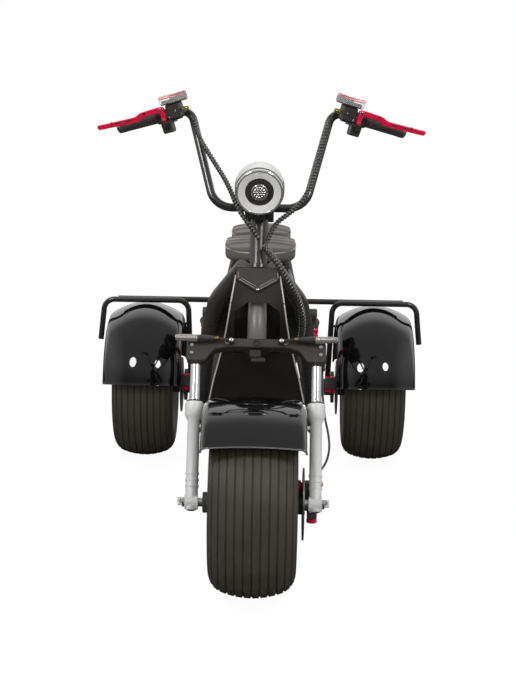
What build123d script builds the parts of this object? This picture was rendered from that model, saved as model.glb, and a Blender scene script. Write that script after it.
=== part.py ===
"""Three-wheeled electric scooter with a raked fork, an ape-hanger bar and two driven rear wheels.

Millimetres, +Z up, the front faces -Y and +X is the rider's left. Everything is laid out from the front
axle's centre line at y = 0, and moved at the end so that the origin is under the middle of the vehicle.
"""

from build123d import *
import os
from math import cos, radians, sin, tan

# Stance
AXLE_Z = 225.0
TYRE_RADIUS = 234.0
WHEELBASE = 1300.0
REAR_HALF_TRACK = 372.0
FRONT_TYRE_WIDTH = 217.0
REAR_TYRE_WIDTH = 195.0

# Wheels
RIM_SHARE = 0.4316
TYRE_WALL = 9.0
CROWN_DROP_SHARE = 0.062
FLANGE_HEIGHT = 11.0
RIM_WALL = 7.0
HUB_RADIUS = 30.0
WINDOW_COUNT = 5
DISC_RADIUS = 90.0
DISC_THICKNESS = 4.0
CALIPER_INNER = 52.0
FRONT_DISC_OFFSET = 124.0
REAR_DISC_OFFSET = 117.0
AXLE_RADIUS = 7.5
SHAFT_RADIUS = 12.5

# Steering and fork, along the raked steering axis from the axle's level
RAKE = 27.0
LEG_AHEAD = 40.0
LEG_SPREAD = 154.0
LEG_RADIUS = 15.5
FORK_TUBE_RADIUS = 13.5
LEG_BOTTOM = -20.0
COLLAR_START = 205.0
COLLAR_TOP = 255.0
COLLAR_RADIUS = 23.5
CLAMP_LOBE_BOTTOM = 359.0
CLAMP_BOTTOM = 396.0
CLAMP_TOP = 420.0
CLAMP_FRONT = -60.0
STEM_RADIUS = 20.0
HEAD_TUBE_RADIUS = 30.0
HEAD_TUBE_BOTTOM = 538.0
HEAD_TUBE_LENGTH = 94.0
SLEEVE_RADIUS = 24.0
SLEEVE_LENGTH = 133.0

# Handlebar: bottom, bend and end points on one side
BAR_RADIUS = 11.1
BAR_ABOVE_SLEEVE = 27.0
BAR_AHEAD = 12.0
BAR_CORNER_X = 119.0
BAR_BEND_X = 190.0
BAR_RISE = 280.0
BAR_END_X = 385.0
BAR_SWEEP = 96.0
BAR_DROP = 15.0
GRIP_START = 98.0
GRIP_LENGTH = 116.0
GRIP_RADIUS = 16.0

# Hand controls, along the bar from its bend
CYLINDER_START = 10.0
CYLINDER_TOP = 28.0
LEVER_AHEAD = 56.0
LEVER_THICKNESS = 11.0
SWITCH_START = 62.0

# Headlight
LIGHT_FACE_Y = 278.0
LIGHT_FACE_Z = 968.0
LIGHT_TILT = 14.0
LIGHT_RADIUS = 64.5
LIGHT_DEPTH = 106.0
LENS_RADIUS = 37.0

# Fenders
FRONT_FENDER_CLEARANCE = 32.0
FRONT_FENDER_HALF = 128.0
FRONT_FENDER_CROWN = 11.0
FRONT_FENDER_DEPTH = 116.0
REAR_FENDER_CLEARANCE = 38.0
REAR_FENDER_HALF = 123.0
REAR_FENDER_EDGE = 11.7
REAR_FENDER_CROWN = 44.0
REAR_FENDER_DEPTH = 67.0
FENDER_WALL = 3.0

# Guard hoops over the rear fenders
HOOP_RADIUS = 9.0
HOOP_AHEAD = 20.0
HOOP_CLEARANCE = 4.0
HOOP_DROP = 132.0

# Frame
RAIL_RADIUS = 22.0
RAIL_BENDS = [110.0, 260.0, 90.0, 90.0]
FLOOR_HALF = 165.0
FLOOR_Z = 262.0
FLOOR_FRONT_Y = 570.0
PIVOT_SHARE = 0.4932
PIVOT_RADIUS = 16.0
TOP_TUBE_RADIUS = 9.5
TOP_TUBE_Z = 672.0
SADDLE_AHEAD = 80.0
SADDLE_LENGTH = 208.0
PAD_LENGTH = 180.0
SEAT_PAN_THICKNESS = 8.0
CASE_FRONT_Y = 650.0
APRON_DEPTH = 34.0
FOOTBOARD_HALF = 184.0
FOOTBOARD_THICKNESS = 7.0

# Rear axle, motor and shock absorbers
HOUSING_RADIUS = 27.5
MOTOR_RADIUS = 70.0
MOTOR_AHEAD = 150.0
MOTOR_Z = 236.0
SHOCK_FOOT_AHEAD = 28.0
SHOCK_FOOT_Z = 278.0
SHOCK_HEAD_Z = 508.0
SHOCK_BAR_RADIUS = 10.0
COIL_COUNT = 12

# Looms and hoses
BAR_LOOM_RADIUS = 6.5
MAIN_LOOM_RADIUS = 8.5
BRAKE_HOSE_RADIUS = 3.0

# Fits
FIT = 0.05
SEAT_GAP = 0.3

RIM_RADIUS = TYRE_RADIUS * RIM_SHARE
FRONT_FENDER_RADIUS = TYRE_RADIUS + FRONT_FENDER_CLEARANCE
REAR_FENDER_RADIUS = TYRE_RADIUS + REAR_FENDER_CLEARANCE
OVERALL_LENGTH = TYRE_RADIUS + WHEELBASE + REAR_FENDER_RADIUS * cos(radians(REAR_FENDER_EDGE))
LEAN = radians(RAKE)
HEAD_TUBE_TOP = HEAD_TUBE_BOTTOM + HEAD_TUBE_LENGTH
STEM_TOP = HEAD_TUBE_TOP + SLEEVE_LENGTH
BAR_HEIGHT = STEM_TOP + BAR_ABOVE_SLEEVE
PIVOT_Y = FLOOR_FRONT_Y + PIVOT_SHARE * (WHEELBASE - FLOOR_FRONT_Y)
FLOOR_BACK_Y = PIVOT_Y + 35
SEAT_FRONT_Y = PIVOT_Y - SADDLE_AHEAD
SEAT_SPLIT_Y = SEAT_FRONT_Y + SADDLE_LENGTH
SEAT_BACK_Y = SEAT_SPLIT_Y + PAD_LENGTH
MOTOR_Y = WHEELBASE - MOTOR_AHEAD
MOTOR_X = (REAR_HALF_TRACK * -0.161, REAR_HALF_TRACK * 0.263)
GEAR_CASE_X = (REAR_HALF_TRACK * -0.247, MOTOR_X[0])
ARM_X = (REAR_HALF_TRACK * 0.285, REAR_HALF_TRACK * 0.350)
SHOCK_X = REAR_HALF_TRACK * 0.4435
SHOCK_HEAD = (FLOOR_BACK_Y + 125, SHOCK_HEAD_Z)
SHOCK_FOOT = (WHEELBASE - SHOCK_FOOT_AHEAD, SHOCK_FOOT_Z)
RAIL_TOP_Z = FLOOR_Z + RAIL_RADIUS
SEAT_PAN_Z = TOP_TUBE_Z + TOP_TUBE_RADIUS + SEAT_GAP
SEAT_BOTTOM_Z = SEAT_PAN_Z + SEAT_PAN_THICKNESS + SEAT_GAP
FOOTBOARD_Z = RAIL_TOP_Z + SEAT_GAP

# The steering frame: its z runs up the steering axis and its y points back and down
STEER = Plane(
    origin=(0, LEG_AHEAD * cos(LEAN), AXLE_Z - LEG_AHEAD * sin(LEAN)),
    x_dir=(1, 0, 0),
    z_dir=(0, sin(LEAN), cos(LEAN)),
)


def block(x, y, z):
    """A box between two bounds on each axis."""
    centre = ((x[0] + x[1]) / 2, (y[0] + y[1]) / 2, (z[0] + z[1]) / 2)
    return Pos(*centre) * Box(x[1] - x[0], y[1] - y[0], z[1] - z[0])


def rod(start, end, radius):
    """A round bar between two points."""
    run = Vector(*end) - Vector(*start)
    return extrude(Plane(origin=start, z_dir=run) * Circle(radius), run.length)


def bent_tube(points, radii, radius):
    """A round bar along straight runs joined by arcs, with one arc radius for each inner point."""
    path = FilletPolyline(*points, radius=radii)
    return sweep(Plane(origin=path @ 0, z_dir=path % 0) * Circle(radius), path=path)


def side_plate(outline, x_range):
    """An outline of (y, z) points, drawn across x_range."""
    face = Plane.YZ * make_face(Polyline(*outline, close=True))
    return Pos(x_range[0], 0, 0) * extrude(face, x_range[1] - x_range[0])


def front_plate(outline, y_range):
    """An outline of (x, z) points, drawn across y_range."""
    face = Plane.XZ * make_face(Polyline(*outline, close=True))
    return Pos(0, y_range[1], 0) * extrude(face, y_range[1] - y_range[0])


def both_sides(outline):
    """A half outline on +X, from bottom to top or top to bottom, closed with its mirror image."""
    return outline + [(-x, z) for x, z in reversed(outline) if x > 0]


def pair(piece):
    """A piece on +X with its mirror image on -X."""
    return Part() + [piece, mirror(piece, about=Plane.YZ)]


def band(x, r):
    """A rectangle of a wheel's section, between two places along the axle and two radii."""
    return Pos((x[0] + x[1]) / 2, (r[0] + r[1]) / 2) * Rectangle(x[1] - x[0], r[1] - r[0])


def turned(section):
    """A solid turned about the axle from a section in (x, radius)."""
    return revolve(section, axis=Axis.X)


def cord_radii(points):
    """The largest smooth arc at each inner point of a cord: 0.45 of the shorter run over tan of half the turn."""
    route = [Vector(*point) for point in points]
    radii = []
    for before, corner, after in zip(route, route[1:], route[2:]):
        turn = (corner - before).get_angle(after - corner)
        shorter = min((corner - before).length, (after - corner).length)
        radii.append(0.45 * shorter / tan(radians(turn / 2)))
    return radii


def cord(points, radius):
    """A round cord along its route, with its arcs' radii printed."""
    radii = cord_radii(points)
    print("cord of radius", radius, "arcs", [round(arc, 1) for arc in radii])
    return bent_tube(points, radii, radius)


def tyre(width):
    """A hollow balloon tyre with upright sidewalls and a rounded crown."""

    def outline(inset):
        side = width / 2 - inset
        crown = TYRE_RADIUS - inset
        foot = (bead_half(width) - inset, RIM_RADIUS)
        neck = (foot[0], RIM_RADIUS + FLANGE_HEIGHT + 1.5)
        shoulder = (width * 0.34, crown - width * CROWN_DROP_SHARE)
        belt = (side, shoulder[1] - 1.45 * (side - shoulder[0]))
        half = Line(foot, neck) + TangentArc(belt, neck, tangent=(0, -1))
        half += TangentArc(belt, shoulder, tangent=(0, 1))
        crown_arc = ThreePointArc(shoulder, (0, crown), (-shoulder[0], shoulder[1]))
        across = Line(foot, (-foot[0], foot[1]))
        return make_face(half + mirror(half, about=Plane.YZ) + crown_arc + across)

    return turned(outline(0) - outline(TYRE_WALL))


def bead_half(width):
    """Half the width between a tyre's beads."""
    return width * 0.37


def rim(width, disc_offset, disc_side, far_end, bore):
    """A cast rim with a windowed web and its hub, reaching disc_offset towards the brake disc."""
    bead = bead_half(width)
    edge = bead + SEAT_GAP + 6
    barrel = (RIM_RADIUS - FIT - RIM_WALL, RIM_RADIUS - FIT)
    section = band((-edge, edge), barrel)
    for side in (-1, 1):
        inner, outer = sorted((side * (bead + SEAT_GAP), side * edge))
        section += band((inner, outer), (barrel[0], RIM_RADIUS + FLANGE_HEIGHT))
    section += band((-12, 12), (bore, barrel[1] - 1))
    section += band((-edge * 0.7, edge * 0.7), (bore, HUB_RADIUS))
    disc_face = disc_offset - DISC_THICKNESS / 2
    neck, end = sorted((0, disc_side * disc_face))
    section += band((neck, end), (bore, HUB_RADIUS + 4 - 8))
    spigot = sorted((0, disc_side * (disc_face + DISC_THICKNESS)))
    section += band(spigot, (bore, 20))
    section += band(sorted((0, -disc_side * far_end)), (bore, 19))
    body = turned(section)
    window = Pos(0, 0, (barrel[0] + HUB_RADIUS) / 2) * Rot(0, 90, 0) * Cylinder(18, 30)
    for index in range(WINDOW_COUNT):
        body -= Rot(index * 360 / WINDOW_COUNT, 0, 0) * window
    return body


def brake_disc(offset, disc_side):
    """A drilled disc on the hub's spigot."""
    x = disc_side * offset
    disc = turned(band((x - DISC_THICKNESS / 2, x + DISC_THICKNESS / 2), (20 + FIT, DISC_RADIUS)))
    hole = Pos(x, 0, DISC_RADIUS - 14) * Rot(0, 90, 0) * Cylinder(4.5, 20)
    for index in range(10):
        disc -= Rot(index * 36, 0, 0) * hole
    return disc


def caliper(x_low, x_high, disc_x, angle, half_length):
    """A caliper astride a disc's edge, turned about the axle by its angle above the rearward direction."""
    body = block((x_low, x_high), (CALIPER_INNER, DISC_RADIUS + 12), (-half_length, half_length))
    body = fillet(body.edges().filter_by(Axis.X), 9)
    slot = DISC_THICKNESS / 2 + 2
    body -= block((disc_x - slot, disc_x + slot), (40, DISC_RADIUS + 3), (-100, 100))
    return Rot(angle, 0, 0) * body


def front_wheel():
    """The front tyre, rim and disc on the axle's centre line."""
    place = Pos(0, 0, AXLE_Z)
    return {
        "front_tyre": place * tyre(FRONT_TYRE_WIDTH),
        "front_rim": place * rim(FRONT_TYRE_WIDTH, FRONT_DISC_OFFSET, 1, 124, AXLE_RADIUS + FIT),
        "front_brake_disc": place * brake_disc(FRONT_DISC_OFFSET, 1),
    }


def rear_wheel(name, side):
    """A rear tyre, rim with its drive shaft, and disc, on the left (+1) or right (-1)."""
    place = Pos(side * REAR_HALF_TRACK, WHEELBASE, AXLE_Z)
    hub = rim(REAR_TYRE_WIDTH, REAR_DISC_OFFSET, -side, 84, 0)
    shaft_end = -side * (REAR_DISC_OFFSET + 62)
    hub += turned(band(sorted((0, shaft_end)), (0, SHAFT_RADIUS)))
    return {
        f"{name}_tyre": place * tyre(REAR_TYRE_WIDTH),
        f"{name}_rim": place * hub,
        f"{name}_brake_disc": place * brake_disc(REAR_DISC_OFFSET, -side),
    }


def fork_legs():
    """Lower legs with ribs, collars, axle lugs, pinch ears, fender pegs and the caliper's lug."""
    outline = [
        (0, LEG_BOTTOM),
        (LEG_RADIUS - 2, LEG_BOTTOM),
        (LEG_RADIUS, LEG_BOTTOM + 6),
        (LEG_RADIUS, COLLAR_START),
        (COLLAR_RADIUS, COLLAR_START + 17),
        (COLLAR_RADIUS, COLLAR_TOP - 4),
        (COLLAR_RADIUS - 3, COLLAR_TOP),
        (FORK_TUBE_RADIUS + FIT, COLLAR_TOP),
        (FORK_TUBE_RADIUS + FIT, 100),
        (0, 100),
    ]
    leg = revolve(Plane.XZ * make_face(Polyline(*outline, close=True)), axis=Axis.Z)
    for height in (40, 56, 72):
        leg += Pos(0, 0, height) * (Cylinder(LEG_RADIUS + 1.5, 6) - Cylinder(LEG_RADIUS - 1, 6))
    leg += Rot(0, 90, 0) * Cylinder(18, 2 * LEG_RADIUS + 2)
    peg_z = COLLAR_START - 12
    peg_end = LEG_SPREAD - FRONT_FENDER_HALF - SEAT_GAP
    leg += rod((2 - LEG_RADIUS, 0, peg_z), (-peg_end, 0, peg_z), 5.5)
    leg -= rod((-30, 0, 0), (30, 0, 0), AXLE_RADIUS + FIT)
    leg += block((LEG_RADIUS + 1, LEG_RADIUS + 19), (-7, 7), (-7, 11))
    leg += rod((LEG_RADIUS + 10, -10, 2), (LEG_RADIUS + 10, 10, 2), 6)
    lug = block((LEG_SPREAD - 8, LEG_SPREAD + 6), (8, CALIPER_INNER - SEAT_GAP), (AXLE_Z - 20, AXLE_Z + 20))
    return STEER.location * pair(Pos(LEG_SPREAD, -LEG_AHEAD, 0) * leg) + lug


def fork_tubes():
    """Upper tubes from inside the legs to the clamp's lobes."""
    tube = Pos(LEG_SPREAD, -LEG_AHEAD, 0) * rod((0, 0, 110), (0, 0, CLAMP_TOP + 4), FORK_TUBE_RADIUS)
    return pair(tube)


def front_axle():
    """The front axle with its spacers, in the steering frame."""
    end = LEG_SPREAD + LEG_RADIUS + 1 - SEAT_GAP
    axle = rod((-end, 0, 0), (end, 0, 0), AXLE_RADIUS)
    inner = FRONT_DISC_OFFSET + DISC_THICKNESS / 2 + 1
    outer = LEG_SPREAD - LEG_RADIUS - 1 - SEAT_GAP
    for side in (-1, 1):
        axle += rod((side * inner, 0, 0), (side * outer, 0, 0), 11)
    return Pos(0, -LEG_AHEAD, 0) * axle


def lower_clamp():
    """The wide lower clamp: a bar stepped down to lobes round the fork tubes, in the steering frame."""
    lobe = COLLAR_RADIUS
    half = [
        (0, CLAMP_BOTTOM + 3),
        (78, CLAMP_BOTTOM),
        (108, CLAMP_BOTTOM - 8),
        (LEG_SPREAD - lobe, CLAMP_LOBE_BOTTOM),
        (LEG_SPREAD + lobe - 4, CLAMP_LOBE_BOTTOM),
        (LEG_SPREAD + lobe, CLAMP_LOBE_BOTTOM + 6),
        (LEG_SPREAD + lobe, CLAMP_TOP - 12),
        (LEG_SPREAD + lobe - 6, CLAMP_TOP - 6),
        (104, CLAMP_TOP),
        (0, CLAMP_TOP),
    ]
    clamp = front_plate(both_sides(half), (CLAMP_FRONT, -LEG_AHEAD + lobe))
    clamp += Pos(0, 0, CLAMP_BOTTOM + 4) * extrude(Circle(STEM_RADIUS + 11), CLAMP_TOP - CLAMP_BOTTOM - 4)
    clamp += block((-46, 46), (-LEG_AHEAD, 0), (CLAMP_BOTTOM + 4, CLAMP_TOP))
    clamp -= rod((0, 0, CLAMP_BOTTOM), (0, 0, CLAMP_TOP + 1), STEM_RADIUS + FIT)
    clamp += block((163, 177), (-20, -4), (CLAMP_LOBE_BOTTOM - 6, CLAMP_LOBE_BOTTOM + 12))
    for side in (-1, 1):
        x = side * LEG_SPREAD
        clamp -= rod((x, -LEG_AHEAD, 340), (x, -LEG_AHEAD, 440), FORK_TUBE_RADIUS + FIT)
    return clamp


def steering_stem():
    """The stem through the head tube and its wider sleeve above, in the steering frame."""
    stem = rod((0, 0, CLAMP_BOTTOM + 4), (0, 0, HEAD_TUBE_TOP + 4), STEM_RADIUS)
    return stem + rod((0, 0, HEAD_TUBE_TOP + 3), (0, 0, STEM_TOP), SLEEVE_RADIUS)


def light_frame():
    """The headlight's own frame: z runs back along its axis from the middle of its face."""
    tilt = radians(LIGHT_TILT)
    return Plane(
        origin=(0, LIGHT_FACE_Y, LIGHT_FACE_Z), x_dir=(1, 0, 0), z_dir=(0, cos(tilt), sin(tilt))
    )


def bar_points():
    """The handlebar's corner points on +X in the steering frame: middle, corner, bend and end."""
    return [
        (0, -BAR_AHEAD, BAR_HEIGHT),
        (BAR_CORNER_X, -BAR_AHEAD, BAR_HEIGHT),
        (BAR_BEND_X, -BAR_AHEAD, BAR_HEIGHT + BAR_RISE),
        (BAR_END_X, -BAR_AHEAD + BAR_SWEEP, BAR_HEIGHT + BAR_RISE - BAR_DROP),
    ]


def bar_clamp():
    """The riser block on the stem with two bar clamps and the headlight's post."""
    base = block((-38, 38), (-34, 24), (STEM_TOP + SEAT_GAP, STEM_TOP + 13))
    for side in (-1, 1):
        centre = (side * 27, -BAR_AHEAD, BAR_HEIGHT)
        base += rod((side * 17, *centre[1:]), (side * 37, *centre[1:]), 19)
    base -= rod((-60, -BAR_AHEAD, BAR_HEIGHT), (60, -BAR_AHEAD, BAR_HEIGHT), BAR_RADIUS + FIT)
    post = STEER.location * base
    post += block((-17, 17), (LIGHT_FACE_Y + 60, LIGHT_FACE_Y + 88), (LIGHT_FACE_Z - 78, LIGHT_FACE_Z - 28))
    bucket = light_frame().location * extrude(Circle(LIGHT_RADIUS + FIT), LIGHT_DEPTH)
    sleeve = STEER.location * rod((0, 0, STEM_TOP - 60), (0, 0, STEM_TOP + SEAT_GAP), SLEEVE_RADIUS + SEAT_GAP)
    return post - bucket - sleeve


def handlebar(radius=BAR_RADIUS):
    """The one-piece ape-hanger bar, in the steering frame."""
    half = bar_points()
    points = [(-x, y, z) for x, y, z in reversed(half[1:])] + half[1:]
    return bent_tube(points, [42, 60, 60, 42], radius)


def hand_frame():
    """The frame of the +X grip: z along the bar from its bend, x back, y up."""
    bend, end = [STEER.from_local_coords(Vector(*point)) for point in bar_points()[2:]]
    along = (end - bend).normalized()
    back = Vector(0, 1, 0)
    back = (back - along * back.dot(along)).normalized()
    return Plane(origin=bend, x_dir=back, z_dir=along)


def on_hand(piece):
    """A piece drawn in the grip's frame, placed on both ends of the bar."""
    return pair(hand_frame().location * piece)


def bar_length():
    """The bar's straight length from its bend to its end."""
    bend, end = [Vector(*point) for point in bar_points()[2:]]
    return (end - bend).length


def grips():
    """Rubber sleeves on the bar's ends."""
    sleeve = rod((0, 0, GRIP_START), (0, 0, GRIP_START + GRIP_LENGTH), GRIP_RADIUS)
    return on_hand(sleeve - rod((0, 0, 0), (0, 0, 300), BAR_RADIUS + FIT))


def grip_caps():
    """Metal end caps over the bar's ends."""
    start = GRIP_START + GRIP_LENGTH + SEAT_GAP
    end = bar_length() + 8
    cap = rod((0, 0, start), (0, 0, end), GRIP_RADIUS + 0.5)
    cap = chamfer(cap.edges().group_by(Axis.Z)[-1], 3)
    return on_hand(cap - rod((0, 0, 0), (0, 0, bar_length() + FIT), BAR_RADIUS + FIT))


def master_cylinders():
    """Brake master cylinders clamped inboard of the switches, with the lever's ear."""
    end = CYLINDER_START + 42
    body = block((-52, -14), (-13, CYLINDER_TOP), (CYLINDER_START, end))
    body = fillet(body.edges().filter_by(Axis.Z), 6)
    body += rod((0, 0, end - 20), (0, 0, end), 18)
    body += block((-LEVER_AHEAD, -40), (-22, -14.3), (38, 66)) + block((-52, -40), (-15, -10), (38, 51))
    body += rod((-33, 6, 11), (-33, 6, -6), 6.5)
    return on_hand(body) - STEER.location * handlebar(BAR_RADIUS + FIT)


def fluid_reservoirs():
    """Hexagonal fluid reservoirs on the master cylinders, with their lids."""
    outline = [(-57, -2), (-44, -10), (-18, -10), (-6, 2), (-6, 52), (-20, 70), (-40, 70), (-57, 50)]
    face = make_face(Polyline(*outline, close=True))
    base = Plane(origin=(0, CYLINDER_TOP + SEAT_GAP, 0), x_dir=(1, 0, 0), z_dir=(0, 1, 0))
    return on_hand(extrude(base * mirror(face, about=Plane.XZ), 24))


def brake_levers():
    """Brake levers with an upright root at the pivot, a step and a long blade with a knob."""
    outline = [
        (-14, 54), (28, 54), (26, 124), (18, 142), (21, 248), (22, 258), (16, 262),
        (9, 258), (8, 248), (3, 136), (12, 114), (14, 67), (-14, 67),
    ]
    return on_hand(side_plate(outline, (-LEVER_AHEAD, LEVER_THICKNESS - LEVER_AHEAD)))


def switch_boxes():
    """Switch housings round the bar between the master cylinders and the grips."""
    body = block((-18, 18), (-48, 18), (SWITCH_START, GRIP_START - SEAT_GAP))
    body = fillet(body.edges().filter_by(Axis.Z), 8)
    return on_hand(body - rod((0, 0, 0), (0, 0, 200), BAR_RADIUS + FIT))


def headlight_bucket():
    """A round bucket with its trim ring, hollow behind the lens, in its own frame."""
    outer = Line((LENS_RADIUS, 9), (LIGHT_RADIUS - 6, 0))
    outer += Line((LIGHT_RADIUS - 6, 0), (LIGHT_RADIUS - 2.5, 4))
    outer += Line((LIGHT_RADIUS - 2.5, 4), (LIGHT_RADIUS - 2.5, 12))
    outer += Line((LIGHT_RADIUS - 2.5, 12), (LIGHT_RADIUS, 14))
    outer += Line((LIGHT_RADIUS, 14), (LIGHT_RADIUS, 56))
    outer += ThreePointArc((LIGHT_RADIUS, 56), (46, 93), (12, LIGHT_DEPTH))
    outer += Line((12, LIGHT_DEPTH), (0, LIGHT_DEPTH))
    outer += Line((0, LIGHT_DEPTH), (0, LIGHT_DEPTH - 4))
    outer += Line((0, LIGHT_DEPTH - 4), (12, LIGHT_DEPTH - 4))
    outer += ThreePointArc((12, LIGHT_DEPTH - 4), (43, 90), (LIGHT_RADIUS - 4, 56))
    outer += Line((LIGHT_RADIUS - 4, 56), (LIGHT_RADIUS - 4, 16))
    outer += Line((LIGHT_RADIUS - 4, 16), (LENS_RADIUS, 15))
    outer += Line((LENS_RADIUS, 15), (LENS_RADIUS, 9))
    return revolve(Plane.XZ * make_face(outer), axis=Axis.Z)


def headlight_lens():
    """The dark inner ring with the small round lamp in its middle, in the headlight's frame."""
    return rod((0, 0, 9), (0, 0, 15), LENS_RADIUS - FIT) + rod((0, 0, 4), (0, 0, 9), 19)


def arch_section(half_width, skirt, side, crown, corner):
    """A fender's section: upright sides with rounded shoulders under a crowned top."""
    top = ThreePointArc((-half_width, side), (0, crown), (half_width, side))
    walls = Polyline((half_width, side), (half_width, skirt), (-half_width, skirt), (-half_width, side))
    outer = make_face(top + walls)
    shoulders = outer.vertices().filter_by(lambda vertex: vertex.Y > skirt + 1)
    outer = fillet(shoulders, corner)
    inner = offset(outer, -FENDER_WALL, kind=Kind.INTERSECTION)
    opening = half_width - FENDER_WALL
    return outer - inner - band((-opening, opening), (skirt - 1, skirt + 2 * FENDER_WALL))


def fender_shell(section, back_edge, front_edge):
    """A section swept over the axle between two angles, measured up from the rearward direction."""
    return Rot(back_edge, 0, 0) * revolve(section, axis=Axis.X, revolution_arc=front_edge - back_edge)


def front_fender():
    """The front fender, cut off along its lower sides by a plane that falls to the rear."""
    skirt, side = FRONT_FENDER_RADIUS - FRONT_FENDER_DEPTH, FRONT_FENDER_RADIUS - FRONT_FENDER_CROWN
    section = arch_section(FRONT_FENDER_HALF, skirt, side, FRONT_FENDER_RADIUS, 44)
    shell = fender_shell(section, 30, 133)
    above = side_plate([(-300, 191), (300, 110), (300, 400), (-300, 400)], (-200, 200))
    return Pos(0, 0, AXLE_Z) * (shell & above)


def rear_fenders():
    """Half-round rear fenders with deep rounded crowns."""
    skirt, side = REAR_FENDER_RADIUS - REAR_FENDER_DEPTH, REAR_FENDER_RADIUS - REAR_FENDER_CROWN
    section = arch_section(REAR_FENDER_HALF, skirt, side, REAR_FENDER_RADIUS, 38)
    shell = fender_shell(section, REAR_FENDER_EDGE, 180 - REAR_FENDER_EDGE)
    return pair(Pos(REAR_HALF_TRACK, WHEELBASE, AXLE_Z) * shell)


def fender_hoops():
    """Guard hoops that stand on the axle housing and carry the rear fenders, with the bar across them."""
    y = WHEELBASE - HOOP_AHEAD
    top = AXLE_Z + REAR_FENDER_RADIUS + HOOP_CLEARANCE + HOOP_RADIUS
    inner_x = REAR_HALF_TRACK - REAR_FENDER_HALF - HOOP_RADIUS - 5
    end_x = REAR_HALF_TRACK + REAR_FENDER_HALF + HOOP_RADIUS + 2
    points = [(inner_x - 11, y, AXLE_Z + 26), (inner_x, y, top), (end_x, y, top)]
    points += [(end_x + 14, y, top - HOOP_DROP)]
    hoop = bent_tube(points, [34, 34], HOOP_RADIUS)
    hoop -= rod((0, WHEELBASE, AXLE_Z), (400, WHEELBASE, AXLE_Z), HOUSING_RADIUS + SEAT_GAP)
    peg_z = AXLE_Z + REAR_FENDER_RADIUS - REAR_FENDER_DEPTH + 4
    fender_side = REAR_HALF_TRACK - REAR_FENDER_HALF - SEAT_GAP
    hoop += rod((inner_x, y, peg_z), (fender_side, y, peg_z), 4)
    cross_y = y + 2 * HOOP_RADIUS - 1
    cross_x = REAR_HALF_TRACK + REAR_FENDER_HALF - 31
    return pair(hoop) + rod((-cross_x, cross_y, top + 1), (cross_x, cross_y, top + 1), HOOP_RADIUS)


def front_indicators():
    """Slim arrow-shaped indicators on short stalks from the clamp's face, in the steering frame."""
    y = CLAMP_FRONT
    leaf = [(104, 416), (120, 423), (190, 424), (206, 418), (204, 410), (150, 406), (112, 408)]
    piece = front_plate(leaf, (y - 18, y - 5))
    piece += rod((92, y - 12, 415), (106, y - 12, 415), 5.5)
    piece += rod((64, y - 12, 411), (94, y - 12, 415), 4)
    piece += rod((64, y - 16, 411), (64, y, 411), 8)
    return pair(piece)


def front_caliper():
    """The front caliper behind the +X leg."""
    body = caliper(FRONT_DISC_OFFSET - 13, FRONT_DISC_OFFSET + 44, FRONT_DISC_OFFSET, 0, 38)
    return Pos(0, 0, AXLE_Z) * body


def head_tube():
    """The head tube round the stem, in the steering frame."""
    tube = rod((0, 0, HEAD_TUBE_BOTTOM), (0, 0, HEAD_TUBE_TOP), HEAD_TUBE_RADIUS)
    return tube - rod((0, 0, 0), (0, 0, 800), STEM_RADIUS + FIT)


def rail_points():
    """One frame rail's corner points on +X: head, shoulder, knee, floor front, floor back and seat."""
    return [
        (36, 342, 770),
        (112, 395, 668),
        (138, 485, 540),
        (FLOOR_HALF, FLOOR_FRONT_Y, FLOOR_Z),
        (FLOOR_HALF, FLOOR_BACK_Y, FLOOR_Z),
        (70, FLOOR_BACK_Y + 160, SEAT_PAN_Z - SEAT_GAP),
    ]


def frame_rails():
    """Two rails looped from the head tube down to the floor and up to the seat."""
    rail = bent_tube(rail_points(), RAIL_BENDS, RAIL_RADIUS)
    rail -= block((0, 2 * FLOOR_HALF), (FLOOR_BACK_Y, WHEELBASE), (SEAT_PAN_Z - SEAT_GAP, SEAT_PAN_Z + 100))
    head = STEER.location * rod((0, 0, 400), (0, 0, 700), HEAD_TUBE_RADIUS + FIT)
    return pair(rail - head)


def cross_tubes():
    """Cross tubes between the rails: two under the floor and the arms' pivot."""
    end = FLOOR_HALF - RAIL_RADIUS - SEAT_GAP
    tubes = Part()
    for y in (CASE_FRONT_Y, 780):
        tubes += rod((-end, y, FLOOR_Z), (end, y, FLOOR_Z), 14)
    return tubes + rod((-end, PIVOT_Y, FLOOR_Z), (end, PIVOT_Y, FLOOR_Z), PIVOT_RADIUS)


def top_tubes():
    """Thin tubes coped to the rails' shoulders and run back under the seat."""
    points = [(96, 392, TOP_TUBE_Z + 24), (86, SEAT_FRONT_Y - 40, TOP_TUBE_Z)]
    points += [(66, FLOOR_BACK_Y + 115, TOP_TUBE_Z)]
    rail = bent_tube(rail_points(), RAIL_BENDS, RAIL_RADIUS + FIT)
    return pair(bent_tube(points, [400], TOP_TUBE_RADIUS) - rail)


def apron_line():
    """The apron's front line from top to floor: y and z of each point, and the half width there."""
    return [
        (283, 775, 55),
        (239, 688, 70),
        (243, 640, 77),
        (263, 585, 86),
        (290, 530, 99),
        (322, 466, 115),
        (362, 400, 128),
        (412, 340, 136),
        (480, 305, 138),
        (FLOOR_FRONT_Y - 12, FOOTBOARD_Z + FOOTBOARD_THICKNESS, 138),
    ]


def apron_layer(depth_front, depth_back, inset, line):
    """What lies between two depths behind the apron's front line and inside its half widths."""
    near = [(y + depth_front, z) for y, z, _ in line]
    far = [(y + depth_back, z) for y, z, _ in reversed(line)]
    widths = both_sides([(half - inset, z) for _, z, half in line])
    return side_plate(near + far, (-200, 200)) & front_plate(widths, (0, FLOOR_FRONT_Y + 100))


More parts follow.
